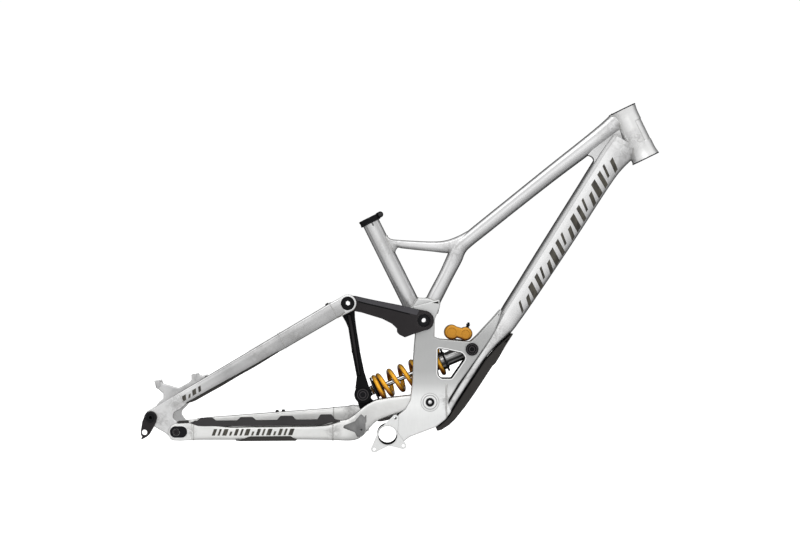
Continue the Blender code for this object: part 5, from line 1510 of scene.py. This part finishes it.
Shape().turned([(31.4, 5.1), (31.4, 9.4), (32.2, 10.6), (33.4, 10.8), (34.8, 9.4), (36, 9.0), (37.2, 9.6), (38.4, 9.8),
                (39.8, 8.6), (40.8, 6.8), (40.8, 5.1)], along(0), AX, 56).build(
    "bump_rubber", "soft_rubber", SF, "rubber", "bump_stop", sharp=40)

sbp = [(113.5, 5.3), (113.5, 11.6), (114.0, 12.3), (115.5, 13.3), (118, 13.4), (200, 13.4), (200, 11.0),
       (119.5, 11.0), (119.5, 5.3)]
Shape().turned(sbp, along(0), AX, 72).build("damper_tube", "damper_alloy", SB, "damper_dark", "shock_body", sharp=30)
hd = Shape()
o2, y0, y1, e = rect_block(206.0, 222, 12.0, 11.8)
hd.plate(o2, y0, y1, 2.4, steps=4)
hd.turned([(-11.8, 5.4), (-11.8, 10.6), (-10.8, 11.6), (10.8, 11.6), (11.8, 10.6), (11.8, 5.4)], at(FEYE), Y, 56)
hd.plate(rounded([(130.1, 164.4, 1), (126, 178, 4), (128, 181.6, 2), (146, 180.2, 2), (150, 172, 6), (160, 168, 4),
                  (158, 158, 4), (147, 158.4, 1), (140.6, 168.8, 1)], 6), -10, 10, 1.6, steps=4)
hd.build("damper_head", "black_part", SB, "black_anodised", "shock_head", sharp=30)
Shape().turned([(200.0, 11.0), (200.0, 13.4), (213.0, 13.4), (213.6, 12.8), (213.6, 11.0)], along(0), AX, 72).build(
    "damper_tube_end", "damper_alloy", SB, "damper_dark", sharp=30)
RES_A, RES_B = (122.2, 194.6), (148.4, 191.6)
PEANUT = clean(arc(*RES_A, 14.4, 48, 312, 56) + arc(*RES_B, 13.0, -128, 122, 52))
rv = Shape()
cr = [(circle(*RES_A, 8.6, 48), 0.0, True), (circle(*RES_A, 8.0, 48), 0.6, True),
      (circle(*RES_B, 7.6, 48), 0.0, True), (circle(*RES_B, 7.0, 48), 0.6, True)]
for side in (-1, 1):
    rv.plate(PEANUT, side * 0.01, side * 24.2, 4.6, steps=8, creases=cr, r_back=0.02)
rv.build("reservoir_body", "gold_anodised_skin", SB, "gold_anodised", "reservoir", sharp=30)
ka = Vector((0.27, 0, 0.963)).normalized()
kn = Shape().turned([(13.0, 0.01), (13.0, 3.6), (13.8, 3.8), (14.4, 2.7), (15.6, 2.7), (16.2, 3.6), (19.2, 3.6),
                     (19.8, 2.4), (22.1, 2.2), (22.5, 1.6), (22.5, 0.01)], at(RES_B, -14), tuple(ka), 36)
kn.build("adjuster_stub", "black_part", "compression_adjuster", "black_anodised", "compression_adjuster", sharp=30)

pc_rings = []
n6 = 96
for d3, r3 in [(167.6, 13.8), (167.6, 22.2), (168.0, 22.6), (171.0, 22.6), (171.4, 22.2), (171.4, 15.6),
               (173.4, 15.2), (173.4, 13.8)]:
    pc_rings.append([tuple(Vector(along(d3)) + (Vector(Y) * math.cos(2 * math.pi * i / n6)
                                                + t3 * math.sin(2 * math.pi * i / n6))
                           * (r3 - (0.8 if r3 > 20 and i % 8 in (0, 1) else 0.0))) for i in range(n6)])
pc = Shape().loft(pc_rings, loop=True)
pc.turned([(160.5, 13.8), (160.5, 16.4), (161.5, 17.2), (168.0, 17.2), (168.0, 13.8)], along(0), AX, 72)
ob = pc.build("preload_ring", ["black_part", "damper_alloy"], "preload_collar", "black_anodised", "preload_collar",
              sharp=25)
for p in ob.data.polygons:
    v = Vector((p.center.x / MM - OX, p.center.y / MM, p.center.z / MM - OZ)) - Vector(along(0))
    t = v.dot(Vector(AX))
    if (v - Vector(AX) * t).length < 18.4 or p.normal.dot(Vector(AX)) > 0.8:
        p.material_index = 1

WIRE_R, COIL_R, SP_LO, SP_HI = 4.4, 22.2, 26.6, 167.3


def coil_t(turns):
    lo, hi = SP_LO + WIRE_R, SP_HI - WIRE_R
    if turns <= 1:
        return lo + 9.0 * turns
    if turns >= 6:
        return hi - 9.0 * (7 - turns)
    return lo + 9.0 + (hi - lo - 18.0) * (turns - 1) / 5


per, sides = 60, 20
rings = []
base = Vector(along(0))
for i in range(7 * per + 1):
    q = i / per
    a = 2 * math.pi * q
    c = Vector(along(coil_t(q), COIL_R * math.cos(a), -COIL_R * math.sin(a)))
    dz = (coil_t(min(7, q + 0.01)) - coil_t(max(0, q - 0.01))) / 0.02
    tan = Vector(along(dz, -COIL_R * 2 * math.pi * math.sin(a), -COIL_R * 2 * math.pi * math.cos(a))) - base
    tan.normalize()
    rad = (c - Vector(along(coil_t(q)))).normalized()
    ww = tan.cross(rad)
    rings.append([tuple(c + (rad * math.cos(2 * math.pi * k / sides) + ww * math.sin(2 * math.pi * k / sides))
                        * WIRE_R * 0.995) for k in range(sides)])
spring = Shape().loft(rings).build("spring_coil", "spring_enamel", SB, "spring_gold", "coil_spring", weighted=False)
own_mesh(spring)

# ====================================================================== stage
me = bpy.data.meshes.new("paper")
me.from_pydata([(-30, -30, -0.45), (30, -30, -0.45), (30, 30, -0.45), (-30, 30, -0.45)], [], [(0, 1, 2, 3)])
me.shade_smooth()
paper = bpy.data.objects.new("paper", me)
bpy.context.scene.collection.objects.link(paper)
pm = bpy.data.materials.new("paper_white")
pm.use_nodes = True
pb = pm.node_tree.nodes["Principled BSDF"]
pb.inputs["Base Color"].default_value = (0.86, 0.86, 0.86, 1)
pb.inputs["Roughness"].default_value = 0.9
pb.inputs["Emission Color"].default_value = (1, 1, 1, 1)
pb.inputs["Emission Strength"].default_value = 0.9
me.materials.append(pm)
paper.visible_glossy = False

world = bpy.data.worlds.new("studio")
bpy.context.scene.world = world
world.use_nodes = True
wt = world.node_tree
bg = wt.nodes["Background"]
tc = wt.nodes.new("ShaderNodeTexCoord")
sx = wt.nodes.new("ShaderNodeSeparateXYZ")
wt.links.new(tc.outputs["Generated"], sx.inputs[0])


def sky_ramp(socket, stops):
    mr = wt.nodes.new("ShaderNodeMapRange")
    mr.inputs["From Min"].default_value = -1
    mr.inputs["From Max"].default_value = 1
    wt.links.new(socket, mr.inputs["Value"])
    rp = wt.nodes.new("ShaderNodeValToRGB")
    els = rp.color_ramp.elements
    while len(els) < len(stops):
        els.new(0.5)
    for el, (p, c) in zip(els, stops):
        el.position = p
        el.color = (c, c, c, 1)
    wt.links.new(mr.outputs["Result"], rp.inputs["Fac"])
    return rp.outputs["Color"]


up = sky_ramp(sx.outputs["Z"], ((0.0, 0.40), (0.34, 0.50), (0.44, 0.72), (0.56, 0.78), (0.72, 0.86), (1.0, 0.95)))
back = sky_ramp(sx.outputs["Y"], ((0.0, 1.0), (0.5, 1.0), (0.62, 0.50), (0.78, 0.34), (1.0, 0.40)))
mx = wt.nodes.new("ShaderNodeMix")
mx.data_type = "RGBA"
mx.blend_type = "MULTIPLY"
mx.inputs[0].default_value = 1.0
wt.links.new(up, mx.inputs[6])
wt.links.new(back, mx.inputs[7])
lp = wt.nodes.new("ShaderNodeLightPath")
seen = wt.nodes.new("ShaderNodeMix")
seen.data_type = "RGBA"
wt.links.new(lp.outputs["Is Camera Ray"], seen.inputs[0])
wt.links.new(mx.outputs[2], seen.inputs[6])
seen.inputs[7].default_value = (1.08, 1.08, 1.08, 1)
wt.links.new(seen.outputs[2], bg.inputs["Color"])
bg.inputs["Strength"].default_value = 0.95


def light(name, size, energy, loc, look, size_y=None):
    d = bpy.data.lights.new(name, "AREA")
    d.shape = "RECTANGLE"
    d.size, d.size_y = size, size_y or size
    d.energy = energy
    ob = bpy.data.objects.new(name, d)
    ob.location = loc
    ob.rotation_euler = (Vector(look) - Vector(loc)).to_track_quat("-Z", "Y").to_euler()
    bpy.context.scene.collection.objects.link(ob)
    return ob


light("top_softbox", 2.6, 14, (0, -0.5, 2.4), (0, 0, 0.3), 1.8)
light("front_softbox", 2.8, 9, (-0.4, -3.2, 1.6), (0, 0, 0.3), 1.6)
light("back_softbox", 2.4, 5, (0.6, 2.0, 1.8), (0, 0, 0.3), 1.4)
light("low_fill", 2.4, 1.6, (0, -2.0, -0.35), (0, 0, 0.25), 0.8)

cam = bpy.data.cameras.new("photo_camera")
cam.sensor_width = 36
cam.lens = 153.5
cam.shift_x = 0.03125
cam.shift_y = 0.0
cam.clip_start, cam.clip_end = 0.1, 100
co = bpy.data.objects.new("photo_camera", cam)
co.location = (-0.050235, -6.5, 0.33061)
co.rotation_euler = (math.radians(90), 0, 0)
bpy.context.scene.collection.objects.link(co)
bpy.context.scene.camera = co
bpy.context.scene.view_settings.view_transform = "Standard"
